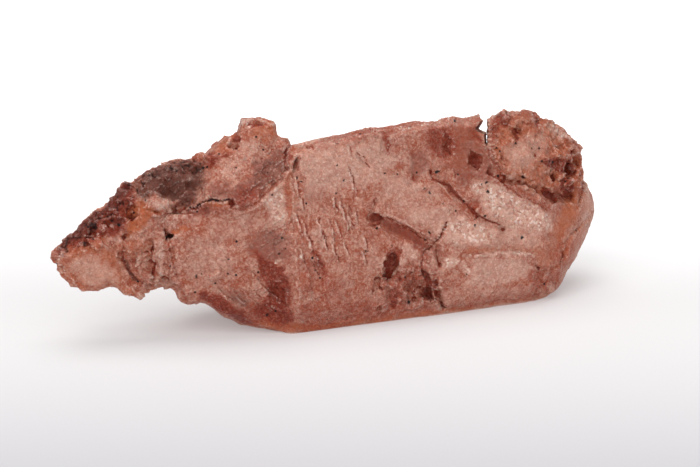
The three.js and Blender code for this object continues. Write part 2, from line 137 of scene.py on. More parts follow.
def cells(points, size, seed, stretch=(1, 1, 1)):
    # the cell that each point is nearest to, the way to its middle, and the gap to the next cell
    place = points / (size * np.array(stretch))
    home = np.floor(place).astype(np.int64)
    own = home.copy()
    away = np.zeros_like(place)
    nearest = np.full(len(points), 9.0)
    second = np.full(len(points), 9.0)
    for i in (-1, 0, 1):
        for j in (-1, 0, 1):
            for k in (-1, 0, 1):
                other = home + (i, j, k)
                offset = place - other - np.stack([scramble(other, seed + axis) for axis in range(3)], axis=1)
                reach = np.einsum("ij,ij->i", offset, offset)
                closer = reach < nearest
                second = np.where(closer, nearest, np.minimum(second, reach))
                nearest = np.where(closer, reach, nearest)
                own[closer] = other[closer]
                away[closer] = offset[closer]
    return own, away, np.sqrt(second) - np.sqrt(nearest)


def chips(points, size, seed, stretch=(1, 1, 1), tilt=2.2):
    # flat tilted facets, one to each cell, as on broken or etched quartz
    own, away, gap = cells(points, size, seed, stretch)
    slope = sum((scramble(own, seed + 11 + axis) - 0.5) * away[:, axis] for axis in range(3))
    return np.clip(scramble(own, seed + 23) - 0.5 + tilt * slope, -1, 1), gap


def streaks(points, size, seed, lean, stretch=6.0):
    # noise drawn out along a line in the broad faces that leans so many degrees from upright
    turn = math.radians(lean)
    along = points[:, 2] * math.cos(turn) - points[:, 0] * math.sin(turn)
    across = points[:, 0] * math.cos(turn) + points[:, 2] * math.sin(turn)
    drawn = np.stack([across, points[:, 1], along / stretch], axis=1)
    return waves(drawn, size, seed)


# The crystal's mesh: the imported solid, resampled finely enough to carry its relief

crystalMesh = {
    "voxel": 0.2,        # mm
    "quickVoxel": 0.32,
    "mostTriangles": 192000,
}


def resampledCopy(node):
    piece = bpy.data.objects.new("nirvana_quartz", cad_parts[node].data.copy())
    scene.collection.objects.link(piece)
    remesh = piece.modifiers.new("resample", "REMESH")
    remesh.mode = "VOXEL"
    remesh.voxel_size = crystalMesh["voxel"] * mm
    bakeModifiers(piece)
    return piece


def bakeModifiers(piece):
    evaluated = piece.evaluated_get(bpy.context.evaluated_depsgraph_get())
    finished = bpy.data.meshes.new_from_object(evaluated)
    piece.modifiers.clear()
    piece.data = finished


def readMesh(piece):
    mesh = piece.data
    points = np.empty(len(mesh.vertices) * 3)
    mesh.vertices.foreach_get("co", points)
    normals = np.empty(len(mesh.vertices) * 3)
    mesh.vertex_normals.foreach_get("vector", normals)
    edges = np.empty(len(mesh.edges) * 2, dtype=np.int64)
    mesh.edges.foreach_get("vertices", edges)
    return points.reshape(-1, 3) / mm, normals.reshape(-1, 3), edges.reshape(-1, 2)


def neighbourMean(values, edges, rounds):
    # evens a value out over the mesh
    count = len(values)
    ends, starts = edges[:, 0], edges[:, 1]
    joined = 1 + np.bincount(ends, minlength=count) + np.bincount(starts, minlength=count)
    columns = values.reshape(count, -1).T.copy()
    for _ in range(rounds):
        for i, column in enumerate(columns):
            gathered = np.bincount(ends, weights=column[starts], minlength=count)
            gathered += np.bincount(starts, weights=column[ends], minlength=count)
            columns[i] = (column + gathered) / joined
    return columns.T.reshape(values.shape)


def unit(vectors):
    return vectors / np.maximum(np.linalg.norm(vectors, axis=1, keepdims=True), 1e-9)


# Where things show in the photograph, in its pixels, and how much a point faces the lens

def photoView(points, normals):
    toLens, right, up = shotAxes()
    offset = points - np.array(shot["aim"])
    nearer = shot["distance"] / (shot["distance"] - offset @ toLens)
    pixel = shot["frameWidth"] / shot["pictureWide"]
    across = shot["pictureWide"] / 2 + (offset @ right) * nearer / pixel
    down = shot["pictureHigh"] / 2 - (offset @ up) * nearer / pixel
    facing = ease(normals @ toLens, 0.02, 0.3)
    return {"across": across, "down": down, "facing": facing, "unit": pixel}


# The sides that the photograph doesn't show carry the front's features upside down, in the same
# pixels, with the middle of the broad front face laid on the middle of the side

otherSides = {
    "middle": (428, 222),    # photograph pixels
    "height": 12.5,          # mm, the level that the middle is laid at
    "pixel": 0.132,          # mm to a pixel there
    "backAlong": 3,          # mm, how far along the back and the top it is laid
    "topAlong": 4,
    "backDeep": 3.2,         # how many times deeper than on the front, which is already pitted
    "topDeep": 2.0,
    "endDeep": 2.4,
    "backFacing": (0.25, 0.6),    # how squarely a point faces a side, where it sets in and is full
    "topFacing": (0.6, 0.85),
    "endFacing": (0.45, 0.75),
}


def turnedView(across, level, facing):
    middleAcross, middleDown = otherSides["middle"]
    pixel = otherSides["pixel"]
    return {"across": middleAcross + across / pixel, "down": middleDown + level / pixel,
            "facing": facing, "unit": pixel}


def sideViews(points, normals):
    side = otherSides
    x, y, z = points.T
    level = z - side["height"]
    back = turnedView(x - side["backAlong"], level, ease(normals[:, 1], *side["backFacing"]))
    top = turnedView(side["topAlong"] - x, y, ease(normals[:, 2], *side["topFacing"]))
    end = turnedView(y, level, ease(normals[:, 0], *side["endFacing"]))
    return (back, side["backDeep"]), (top, side["topDeep"]), (end, side["endDeep"])


def wavered(view, points, reach, size, seed):
    # a view whose outlines wander a little, so that no edge is ruled
    return dict(
        view,
        across=view["across"] + reach * layeredWaves(points, size, seed),
        down=view["down"] + reach * layeredWaves(points, size, seed + 5),
    )


def insideOutline(view, corners):
    # distance in from an outline, below zero outside it
    x, y = view["across"], view["down"]
    nearest = np.full(len(x), 1e9)
    inside = np.zeros(len(x), dtype=bool)
    for (x0, y0), (x1, y1) in zip(corners, corners[1:] + corners[:1]):
        run = np.array([x1 - x0, y1 - y0])
        along = np.clip(((x - x0) * run[0] + (y - y0) * run[1]) / max(run @ run, 1e-9), 0, 1)
        nearest = np.minimum(nearest, np.hypot(x - x0 - along * run[0], y - y0 - along * run[1]))
        crosses = (y0 > y) != (y1 > y)
        rise = y1 - y0 if y1 != y0 else 1e-9
        inside ^= crosses & (x < x0 + (y - y0) * run[0] / rise)
    return np.where(inside, nearest, -nearest)


def besideLine(view, path):
    # distance from a line, and how far along the line that is, from 0 to 1
    x, y = view["across"], view["down"]
    lengths = [math.dist(a, b) for a, b in zip(path, path[1:])]
    nearest = np.full(len(x), 1e9)
    travelled = np.zeros(len(x))
    before = 0.0
    for (x0, y0), (x1, y1), length in zip(path, path[1:], lengths):
        run = np.array([x1 - x0, y1 - y0])
        along = np.clip(((x - x0) * run[0] + (y - y0) * run[1]) / max(run @ run, 1e-9), 0, 1)
        away = np.hypot(x - x0 - along * run[0], y - y0 - along * run[1])
        closer = away < nearest
        nearest = np.where(closer, away, nearest)
        travelled = np.where(closer, before + along * length, travelled)
        before += length
    return nearest, travelled / sum(lengths)


def nearOutline(view, corners, margin):
    xs, ys = zip(*corners)
    return ((view["across"] > min(xs) - margin) & (view["across"] < max(xs) + margin)
            & (view["down"] > min(ys) - margin) & (view["down"] < max(ys) + margin)
            & (view["facing"] > 0))


def partOf(view, chosen):
    return {key: (value[chosen] if isinstance(value, np.ndarray) else value) for key, value in view.items()}


# Features are written down with these four. Their places are in photograph pixels. A patch and a
# band have a share and a soft edge or a width; an outline and a line have depths and colours by name

def patch(share, soft, *corners):
    return {"corners": corners, "share": share, "soft": soft}


def band(share, wide, *path):
    return {"path": path, "share": share, "wide": wide}


def outline(*corners, **look):
    return dict(look, corners=corners)


def line(*path, **look):
    return dict(look, path=path)


# Form of the front. Depths and heights are in mm. A pit's floor can fall towards one side of the
# picture, which is its fall, and a pit or a line can carry its own share of rust or dark

frontPits = {
    "rhombPit": outline((366, 218), (372, 213), (378, 212), (385, 219), (379, 223), (371, 224), deep=0.5,
        wall=1.6, fall=(0.7, 0.3), rust=1, dark=0.35),
    "longPit": outline((384, 265), (387, 252), (397, 243), (404, 252), (400, 260), (398, 267), (390, 278),
        (382, 279), deep=0.4, wall=1.8, fall=(-0.4, 0.5), rust=1, dark=0.05),
    "diamondHole": outline((467, 162), (471, 149), (483, 157), (478, 169), deep=0.55, dark=0.25, wall=1.4,
        fall=(-0.6, 0.4), rust=1),
    "slotHole": outline((442, 132), (445, 128), (451, 136), (449, 147), (453, 156), (449, 155), (443, 148),
        (445, 139), deep=0.5, wall=1.6, fall=(0.6, 0), rust=1, dark=0.3),
    "notchFacet": outline((465, 129), (473, 129), (483, 138), (485, 145), (478, 142), (471, 137), deep=0.2,
        wall=1.8, fall=(0.8, -0.3), rust=0.8),
    "troughBed": outline((385, 217), (402, 226), (413, 232), (427, 242), (432, 247), (427, 258), (422, 258),
        (418, 252), (410, 243), (393, 237), (378, 227), (362, 229), (367, 224), deep=0.25, wall=2,
        fall=(0.3, -0.8), rust=0.6),
    "softPit": outline((310, 252), (318, 248), (328, 265), (332, 278), (325, 286), (316, 272), deep=0.45,
        wall=5, fall=(-0.6, 0), rust=0.85),
    "wedge": outline((375, 285), (380, 286), (384, 290), (379, 291), deep=0.2, wall=1.5, rust=1, dark=0.4),
    "chipA": outline((388, 290), (396, 285), (402, 293), (398, 306), (391, 312), (388, 302), deep=0.35,
        wall=2.4, fall=(0.5, 0.5), rust=0.9, dark=0.2),
    "chipB": outline((403, 287), (405, 276), (411, 271), (417, 273), (416, 283), (409, 288), deep=0.35,
        wall=1.8, fall=(0.5, -0.5), rust=0.7),
    "chipC": outline((421, 269), (427, 270), (432, 280), (440, 285), (434, 290), (426, 286), deep=0.25,
        wall=1.8, fall=(-0.7, 0.3), rust=0.95, dark=0.2),
    "chipD": outline((419, 290), (426, 287), (433, 294), (437, 300), (431, 302), (424, 302), deep=0.3,
        wall=1.6, fall=(0.6, -0.3), rust=1, dark=0.5),
    "chipE": outline((408, 296), (414, 293), (417, 299), (411, 303), deep=0.3, wall=1.4, fall=(0.6, 0.2),
        rust=0.8),
    "chipF": outline((396, 276), (401, 273), (403, 280), (398, 283), deep=0.3, wall=1.4, fall=(-0.5, 0.4),
        rust=1, dark=0.2),
    "chipG": outline((432, 281), (438, 279), (440, 286), (436, 288), deep=0.3, wall=1.4, rust=1, dark=0.3),
    "brownFacet": outline((464, 203), (470, 199), (484, 203), (478, 207), (474, 213), deep=0.35, wall=1.4,
        fall=(-0.7, 0.5), rust=0.75),
    "rustHollowA": outline((382, 132), (390, 136), (393, 144), (388, 157), (385, 155), (382, 140), deep=0.1,
        wall=2.4, fall=(0.7, 0), rust=0.85),
    "rustHollowB": outline((394, 136), (398, 138), (396, 147), deep=0.15, wall=1.5, rust=0.6),
    "rustHollowC": outline((409, 153), (415, 146), (425, 149), (427, 168), (417, 184), (410, 180),
        (412, 160), deep=0.12, wall=3.5, fall=(-0.7, 0), rust=0.5),
    "nick": outline((533, 263), (540, 267), (538, 272), deep=0.5, wall=1.5, rust=0.9),
    "knobPitA": outline((500, 173), (504, 172), (507, 181), (502, 184), deep=0.3, wall=1.8, rust=1),
    "knobPitB": outline((520, 176), (524, 175), (526, 179), (522, 180), deep=0.3, wall=1.5, dark=0.9),
    "knobStreak": outline((507, 127), (513, 126), (520, 137), (518, 144), (513, 138), deep=0.3, wall=2,
        fall=(0.6, 0.3), rust=0.9),
    "knobBlades": outline((538, 188), (545, 187), (557, 197), (559, 203), (553, 204), (544, 197), deep=0.4,
        wall=2, fall=(-0.6, 0.4), rust=1, dark=0.15),
    "knobDarkA": outline((540, 158), (556, 157), (573, 158), (578, 172), (574, 178), (560, 175), (548, 168),
        deep=0.25, wall=3, rust=0.85),
    "knobDarkB": outline((557, 180), (568, 176), (576, 188), (571, 197), (562, 196), deep=0.25, wall=2.4,
        rust=0.95, dark=0.1),
    "knobTopNick": outline((531, 112), (536, 111), (540, 124), (538, 131), (534, 123), deep=0.3, wall=1.8,
        rust=0.9),
    "shoulderHole": outline((230, 135), (236, 132), (242, 137), (240, 143), (233, 143), deep=0.3, wall=2.2,
        fall=(0.4, 0.6), rust=1),
    "shoulderEdgeHole": outline((227, 200), (233, 198), (237, 206), (232, 210), (228, 206), deep=0.6,
        wall=2, rust=1, dark=0.3),
    "hollow": outline((143, 189), (152, 179), (165, 176), (180, 177), (192, 182), (196, 190), (191, 207),
        (182, 203), (172, 199), (158, 195), deep=0.2, wall=6, fall=(0, -0.6)),
    "blackCavity": outline((165, 237), (169, 233), (176, 234), (173, 239), (167, 240), deep=0.25, wall=1.6,
        rust=1, dark=0.9),
    "crestHoleA": outline((86, 228), (91, 221), (97, 222), (99, 228), (92, 232), deep=0.25, wall=2, rust=1,
        dark=0.9),
    "crestHoleB": outline((107, 219), (114, 216), (125, 219), (124, 227), (114, 226), deep=0.25, wall=2.4,
        rust=1, dark=0.5),
    "crestHoleC": outline((112, 204), (121, 200), (128, 205), (123, 212), (114, 211), deep=0.2, wall=2.4,
        rust=1, dark=0.3),
    "crestHoleD": outline((131, 176), (138, 172), (143, 177), (136, 183), deep=0.35, wall=2, rust=0.9,
        dark=0.4),
    "redWedge": outline((258, 264), (270, 260), (278, 277), (286, 293), (280, 308), (270, 294), (258, 277),
        deep=0.15, wall=3, fall=(0.7, 0), rust=1),
}

frontLines = {
    "shoulderCrack": line((186, 210), (192, 208), (198, 206), (205, 202), (213, 200), (222, 201),
        (229, 199), wide=2.5, deep=0.5, rust=1, dark=1),
    "shoulderFoot": line((229, 199), (233, 209), (245, 209), (255, 205), (267, 191), (278, 183), (286, 172),
        (288, 160), wide=3.2, deep=0.25, rust=0.75),
    "shoulderBack": line((289, 146), (284, 158), (287, 172), wide=2, deep=0.6, rust=0.9),
    "rhombCrack": line((367, 215), (370, 209), (374, 202), (379, 196), wide=1.3, deep=0.15, rust=1,
        dark=0.4),
    "troughEdge": line((386, 218), (402, 226), (413, 232), (427, 242), (432, 247), wide=1.6, deep=0.35,
        rust=1, dark=0.25),
    "troughFoot": line((360, 230), (378, 228), (393, 238), (410, 243), (418, 253), wide=1.2, deep=0.15,
        rust=0.5),
    "slantingGroove": line((430, 171), (432, 177), (444, 183), (453, 192), (463, 203), (473, 212),
        (487, 220), (501, 226), wide=3.4, deep=0.35, rust=1, dark=0.25),
    "forkGroove": line((448, 217), (443, 230), (437, 240), wide=1.6, deep=0.12, rust=1),
    "facetEdge": line((437, 240), (429, 248), (423, 257), (422, 268), (428, 279), (438, 287), wide=1.7,
        deep=0.3, rust=0.85),
    "footCrack": line((419, 287), (433, 297), (446, 308), wide=1.6, deep=0.15, rust=1, dark=0.5),
    "gash": line((357, 152), (363, 158), (370, 167), wide=1.5, deep=0.15, rust=1),
    "smallGash": line((348, 203), (352, 212), wide=1.6, deep=0.15, rust=0.9, dark=0.4),
    "tipChannel": line((122, 246), (122, 256), (127, 268), (136, 278), (144, 285), wide=3.2, deep=0.15,
        rust=0.9, dark=0.5),
    "tipRib": line((168, 238), (169, 258), (168, 283), wide=2.2, deep=0.15, rust=0.6),
    "tipRibEdge": line((152, 240), (154, 262), (152, 286), wide=1.6, deep=0.25, rust=0.5),
    "crestLine": line((138, 207), (148, 210), (157, 214), wide=1.4, deep=0.25),
    "ridgeGroove": line((292, 250), (293, 225), (291, 200), wide=1.4, deep=0.2, rust=0.4),
    "wedgeCrack": line((252, 260), (262, 270), (271, 280), (279, 298), wide=1.4, deep=0.15, rust=0.9),
    "purpleCrack": line((262, 160), (268, 155), (274, 150), wide=1.2, deep=0.25, rust=1),
    "knobUndercut": line((487, 146), (490, 156), (500, 168), (498, 178), (510, 189), (523, 197), (537, 203),
        (548, 211), wide=3, deep=0.2, rust=0.8),
    "innerBevel": line((577, 228), (563, 245), (561, 263), wide=1.3, deep=0.2, rust=0.4),
    "ledge": line((337, 272), (363, 271), (383, 270), wide=1.5, deep=0.12, rust=0.3),
    "mauveCrack": line((454, 171), (455, 179), wide=1.6, deep=0.3, rust=0.9, dark=0.3),
    "pitSlit": line((393, 253), (394, 259), (393, 266), wide=1.1, deep=0.3, rust=1, dark=0.8),
    "softPitSeam": line((312, 257), (316, 270), (322, 282), wide=1.2, deep=0.25, rust=1, dark=0.6),
    "diamondFoot": line((469, 163), (477, 169), wide=1.4, deep=0.15, rust=1, dark=0.7),
}

frontPlates = {
    "palePlate": outline((440, 288), (450, 281), (473, 273), (470, 255), (497, 253), (530, 253), (538, 263),
        (530, 290), (523, 296), (443, 307), high=0.22, wall=1.8),
    "facetA": outline((143, 200), (158, 197), (173, 203), (173, 213), (162, 213), (148, 208), high=0.3,
        wall=1.8),
    "facetB": outline((148, 217), (162, 213), (178, 217), (180, 227), (168, 233), (158, 232), high=0.22,
        wall=2.2),
    "tipRidge": outline((153, 240), (162, 237), (165, 248), (162, 284), (155, 286), (155, 260), high=0.35,
        wall=2),
    "facetC": outline((202, 186), (212, 180), (226, 180), (228, 190), (215, 197), (205, 200), high=0.2,
        wall=2),
    "bevelPlate": outline((590, 218), (577, 228), (563, 245), (562, 263), (573, 262), (587, 238), high=0.22,
        wall=1.6),
    "forkPlate": outline((450, 219), (470, 217), (500, 230), (498, 246), (462, 250), (440, 240), high=0.14,
        wall=2),
}

# rows of fine teeth that stand on one side of a line
frontCombs = {
    "besideSlot": line((452, 137), (453, 155), teeth=7, reach=4, high=0.14, pale=0.7),
    "leftOfFork": line((436, 240), (442, 230), (447, 217), teeth=8, reach=-9, high=0.16, pale=0.95),
    "fringe": line((441, 209), (453, 213), teeth=5, reach=5, high=0.15, pale=0.8),
    "underGroove": line((536, 230), (505, 227), (474, 224), teeth=22, reach=-15, high=0.12, pale=0.6),
    "byGash": line((353, 210), (356, 224), teeth=5, reach=-4, high=0.14, pale=0.8),
    "byPit": line((365, 240), (366, 254), teeth=6, reach=-4, high=0.14, pale=0.8),
    "knobSide": line((489, 118), (490, 150), (499, 166), teeth=12, reach=-9, high=0.2, pale=0.5),
    "overSugar": line((497, 186), (522, 200), (545, 214), teeth=11, reach=8, high=0.16, pale=0.6),
}

# raised edges between faces, each with a painted highlight along it
frontRidges = {
    "cornerTop": line((290, 178), (293, 194), (292, 210), (294, 222), wide=2.2, high=0.2, pale=0.6),
    "cornerMiddle": line((292, 232), (296, 246), (295, 262), wide=2, high=0.18, pale=0.45),
    "cornerFoot": line((296, 272), (299, 290), (298, 306), (301, 322), wide=2.2, high=0.2, pale=0.4),
    "shoulderLip": line((234, 212), (247, 212), (260, 206), (271, 193), (284, 184), wide=2.2, high=0.1,
        pale=0.45),
    "plateTop": line((474, 256), (497, 253), (530, 254), wide=1.8, high=0.14, pale=0.9),
    "topRim": line((300, 147), (340, 139), (400, 128), (456, 120), wide=2, high=0.15, pale=0.8),
    "troughLip": line((389, 215), (404, 222), (416, 229), (430, 238), wide=1.8, high=0.14, pale=0.7),
    "bevelCurve": line((589, 221), (579, 229), (567, 245), (565, 262), wide=1.8, high=0.14, pale=0.5),
    "knobFacet": line((547, 124), (558, 129), (570, 140), wide=3, high=0.2, pale=0.9),
    "tipRim": line((57, 262), (66, 274), (80, 286), wide=2.2, high=0.12, pale=0.6),
}

# sets of short slanting ridges, each painted paler as a highlight, with a red furrow beside it whose red is
# partly rust and partly painted shade:
# how far they lean across for each pixel down, and where each starts and how far down it runs
frontSlashes = {
    "leftOfFront": {
        "lean": 0.27, "wide": 1.5, "high": 0.22, "deep": 0.25, "gap": 2.4, "pale": 0.95, "rust": 0.95,
        "starts": [(299, 196, 16), (295, 212, 22), (302, 220, 28), (308, 236, 16), (317, 218, 28),
            (322, 232, 22), (328, 218, 26), (331, 240, 22), (333, 198, 13), (338, 198, 14),
            (336, 222, 15), (342, 207, 26), (347, 212, 17), (355, 211, 12), (343, 243, 12),
            (363, 237, 12), (361, 251, 14), (347, 143, 17), (348, 168, 26), (294, 178, 18),
            (316, 256, 12), (300, 250, 20)],
    },
    "purpleBand": {
        "lean": -1.4, "wide": 1.2, "high": 0.1, "deep": 0.16, "gap": 2.0, "pale": 0.45, "rust": 0.7,
        "starts": [(284, 216, 9), (290, 219, 13), (276, 228, 9), (289, 228, 12), (286, 236, 12),
            (271, 238, 9), (289, 243, 10), (266, 226, 7), (278, 249, 8)],
    },
    "shoulderFacet": {
        "lean": -1.05, "wide": 1.2, "high": 0.1, "deep": 0.18, "gap": 2.2, "pale": 0.35, "rust": 0.8,
        "starts": [(277, 156, 14), (284, 158, 18), (268, 163, 12), (286, 167, 14), (262, 178, 14),
            (272, 180, 12), (250, 186, 10), (248, 194, 10)],
    },
    "hollow": {
        "lean": -1.6, "wide": 1.3, "high": 0.12, "deep": 0.15, "gap": 2.2, "pale": 0.3, "rust": 0.4,
        "starts": [(170, 180, 8), (178, 182, 9), (186, 185, 9), (192, 190, 8), (164, 184, 6),
            (182, 193, 6)],
    },
    "underSide": {
        "lean": 1.1, "wide": 1.2, "high": 0.1, "deep": 0.16, "gap": 2.4, "pale": 0.4, "rust": 0.85,
        "starts": [(216, 288, 14), (226, 286, 18), (238, 288, 16), (248, 286, 18), (234, 298, 12),
            (256, 282, 16), (264, 288, 14), (246, 270, 12), (258, 298, 14), (272, 296, 12)],
    },
}

# places where the solid's own pits are partly filled again
frontFills = {
    "shoulderFacet": patch(1, 4, (256, 158), (278, 155), (284, 174), (268, 184), (254, 176)),
    "cornerSlit": patch(1, 3, (290, 152), (301, 152), (301, 172), (290, 172)),
    "farBevel": patch(1, 5, (556, 232), (582, 228), (582, 266), (556, 270)),
    "knobFace": patch(0.75, 5, (496, 120), (548, 116), (566, 140), (560, 170), (530, 182), (500, 170)),
    "slotHole": patch(0.8, 2, (438, 130), (456, 130), (458, 160), (438, 160)),
    "diamondHole": patch(0.9, 2, (464, 148), (482, 148), (482, 172), (464, 172)),
    "besideSlot": patch(0.6, 3, (378, 128), (398, 128), (398, 160), (378, 160)),
    "redWedge": patch(0.7, 6, (254, 258), (292, 258), (292, 312), (254, 300)),
    "trough": patch(0.65, 3, (366, 208), (386, 208), (436, 240), (432, 258), (408, 248), (364, 232)),
    "slantingGroove": patch(0.45, 3, (434, 172), (446, 178), (480, 212), (506, 224), (490, 232),
        (456, 204)),
    "ledge": patch(0.6, 3, (462, 242), (545, 242), (545, 258), (462, 258)),
    "tipChannel": patch(0.5, 3, (114, 240), (130, 240), (150, 286), (130, 284)),
    "footHollow": patch(0.5, 4, (306, 262), (326, 262), (330, 292), (306, 290)),
}

# thin spikes that are worn down
frontWear = {
    "knobLeft": patch(1, 2, (484, 102), (497, 102), (497, 117), (484, 117)),
    "topLeft": patch(1, 2, (291, 138), (303, 138), (303, 152), (291, 152)),
}

# small shifts of the whole outline, in photograph pixels, each fading out over its reach
nudges = {
    "tipEnd": {"at": (57, 256), "by": (-4, 0), "reach": 15},
    "crestLow": {"at": (98, 202), "by": (1, 6), "reach": 13},
    "crestHigh": {"at": (123, 187), "by": (-2, -7), "reach": 11},
    "underTip": {"at": (112, 292), "by": (0, -6), "reach": 15},
    "underRib": {"at": (174, 292), "by": (0, -6), "reach": 10},
    "underSide": {"at": (206, 310), "by": (0, -6), "reach": 22},
    "underRed": {"at": (236, 322), "by": (0, -3), "reach": 14},
    "shoulderLeft": {"at": (230, 126), "by": (3, 8), "reach": 13},
    "shoulderRight": {"at": (283, 128), "by": (-4, 7), "reach": 12},
    "shoulderCorner": {"at": (246, 118), "by": (-4, -1), "reach": 8},
    "cornerSpike": {"at": (296, 145), "by": (-2, 2), "reach": 6},
    "topLeft": {"at": (340, 131), "by": (0, 2), "reach": 26},
    "topFar": {"at": (450, 120), "by": (0, -4), "reach": 18},
    "slotLip": {"at": (481, 118), "by": (-2, 0), "reach": 6},
    "knobLeft": {"at": (496, 109), "by": (0, 4), "reach": 10},
    "knobNotch": {"at": (514, 110), "by": (0, 2), "reach": 7},
    "farSide": {"at": (591, 205), "by": (2, 0), "reach": 26},
    "farFoot": {"at": (552, 290), "by": (2, 3), "reach": 9},
}


def nudged(points, view):
    toLens, right, up = shotAxes()
    moved = points.copy()
    for nudge in nudges.values():
        (x, y), (dx, dy) = nudge["at"], nudge["by"]
        away = np.hypot(view["across"] - x, view["down"] - y) / nudge["reach"]
        share = np.clip(1 - away ** 2, 0, 1) ** 2 * ease(points[:, 2], 0.2, 2.0)
        moved += share[:, None] * (right * dx - up * dy) * view["unit"]
    return moved


# the slot beside the knob wanders on its way to the back
slotBend = {
    "from": (20.3, -8.3),    # mm, seen from above
    "to": (27.1, 8.3),
    "reach": 0.8,            # mm to each side
    "size": 3.2,
    "beside": (1.0, 3.0),    # mm from the slot's line, over which it fades out
    "along": (1.5, 5),       # mm from the front, over which it sets in
    "level": (12, 15),       # mm above the floor
}


def slotBent(points):
    bend = slotBend
    start, end = np.array(bend["from"]), np.array(bend["to"])
    along = (end - start) / np.linalg.norm(end - start)
    offset = points[:, :2] - start
    travelled = offset @ along
    aside = offset @ np.array([along[1], -along[0]])
    place = np.stack([travelled, np.zeros(len(points)), points[:, 2]], axis=1)
    shift = bend["reach"] * layeredWaves(place, bend["size"], 451)
    shift *= (1 - ease(np.abs(aside), *bend["beside"])) * ease(travelled, *bend["along"])
    shift *= ease(points[:, 2], *bend["level"])
    return points + np.stack([shift * along[1], -shift * along[0], np.zeros(len(points))], axis=1)


def pitShare(view, pit):
    share = ease(insideOutline(view, pit["corners"]), -0.2 * pit["wall"], pit["wall"])
    if "fall" not in pit:
        return share
    xs, ys = zip(*pit["corners"])
    half = max(max(xs) - min(xs), max(ys) - min(ys)) / 2
    acrossFall, downFall = pit["fall"]
    slope = (view["across"] - sum(xs) / len(xs)) * acrossFall + (view["down"] - sum(ys) / len(ys)) * downFall
    return share * np.clip(0.65 + 0.6 * slope / half, 0.12, 1.2)


def pitStain(view, pit):
    # colour reaches over the whole floor of a pit, and most where it is deepest
    share = ease(insideOutline(view, pit["corners"]), -0.3 * pit["wall"], 0.6 * pit["wall"])
    return share * (0.6 + 0.4 * np.clip(pitShare(view, pit), 0, 1))


def lineShare(view, drawn):
    away, travelled = besideLine(view, drawn["path"])
    wide = drawn["wide"] * (0.55 + 0.45 * np.sin(np.pi * np.clip(travelled, 0.04, 0.96)))
    return ease(1 - away / wide, 0, 1)


def plateShare(view, plate):
    return ease(insideOutline(view, plate["corners"]), -0.5 * plate["wall"], 0.5 * plate["wall"])


def combShare(view, comb):
    away, travelled = besideLine(view, comb["path"])
    (x0, y0), (x1, y1) = comb["path"][0], comb["path"][-1]
    side = (x1 - x0) * (view["down"] - y0) - (y1 - y0) * (view["across"] - x0)
    place = travelled * comb["teeth"] + 0.35 * np.sin(travelled * 9.0)
    tooth = np.abs(place % 1 - 0.5) * 2
    length = abs(comb["reach"]) * (0.55 + 0.45 * np.sin(np.floor(place) * 2.4))
    within = ease(1 - away / np.maximum(length, 0.3), 0, 0.6) * (side * comb["reach"] < 0)
    within *= (travelled > 0.01) & (travelled < 0.99)
    return within * ease(tooth, 0.25, 0.75)


def patchShare(view, patches):
    share = np.zeros(len(view["across"]))
    for area in patches.values():
        if "path" in area:
            reach = ease(1.4 - besideLine(view, area["path"])[0] / area["wide"], 0, 1)
        else:
            reach = ease(insideOutline(view, area["corners"]), -area["soft"], area["soft"])
        share = np.maximum(share, reach * area["share"])
    return share * view["facing"]


def slashLines(asFurrows):
    # the slashes as lines: the ridges, or the furrows beside them
    lines = {}
    for name, slashes in frontSlashes.items():
        aside = slashes["gap"] if asFurrows else 0
        for i, (x, y, run) in enumerate(slashes["starts"]):
            path = [(x + aside, y), (x + aside + slashes["lean"] * run, y + run)]
            lines[name, i] = dict(slashes, path=path)
    return lines


def laidOver(view, features, shareOf, total, how, key, strength=1.0):
    # works a set of features into a running total, each only where it reaches
    for feature in features.values():
        places = feature.get("corners") or feature["path"]
        margin = 3 * abs(feature.get("wall") or feature.get("wide") or feature.get("reach"))
        chosen = nearOutline(view, places, margin)
        near = partOf(view, chosen)
        amount = shareOf(near, feature) * feature.get(key, 0) * strength
        total[chosen] = how(total[chosen], amount * near["facing"])


def carveFeatures(view, relief, strength=1.0):
    laidOver(view, frontPits, pitShare, relief, np.subtract, "deep", strength)
    laidOver(view, frontLines, lineShare, relief, np.subtract, "deep", strength)
    laidOver(view, frontPlates, plateShare, relief, np.add, "high")
    laidOver(view, frontRidges, lineShare, relief, np.add, "high")
    laidOver(view, slashLines(False), lineShare, relief, np.add, "high")
    laidOver(view, slashLines(True), lineShare, relief, np.subtract, "deep")


def colourFeatures(view, share):
    for key in ("rust", "dark"):
        laidOver(view, frontPits, pitStain, share[key], np.maximum, key)
        laidOver(view, frontLines, lineShare, share[key], np.maximum, key)
    # the slashes' furrows take rust red, partly painted shade, and the slash ridges and raised edges take
    # pale, a painted highlight
    laidOver(view, slashLines(True), lineShare, share["rust"], np.maximum, "rust")
    laidOver(view, slashLines(False), lineShare, share["pale"], np.maximum, "pale")
    laidOver(view, frontRidges, lineShare, share["pale"], np.maximum, "pale")


def hollowsFilled(points, normals, edges, fill, wear, rounds):
    # evens the surface out where it is hollow, and its edges too where they are to be worn down
    toEven = neighbourMean(points, edges, rounds) - points
    hollow = np.einsum("ij,ij->i", toEven, normals)
    return points + toEven * np.maximum(fill * ease(hollow, -0.03, 0.04), wear)[:, None]


# How rough each part of the crystal is. Outlines are in photograph pixels, and what they
# don't reach takes its roughness from its place on the crystal

roughness = {
    "block": 0.34,        # mm, broad facets of the tip's crest and the knob
    "blockSize": 2.9,
    "crust": 0.24,        # chipped crust over them
    "crustSize": 1.1,
    "pebble": 0.10,
    "pebbleSize": 0.7,
    "frost": 0.04,        # finest grain that the mesh carries
    "frostSize": 0.4,
    "swell": 0.14,
    "swellSize": 6.0,
    "step": 0.10,         # low facets on the plain faces
    "stepSize": 2.4,
    "streak": 0.16,
    "streakSize": 0.8,
    "streakLean": 17,     # degrees
    "drawn": 0.15,        # how strongly faces are drawn with lines, outside the streak zones
    "tip": 0.75,          # how rough the tip, the knob, the top and the plain faces are
    "knob": 0.7,
    "top": 0.45,
    "plain": 0.14,
}

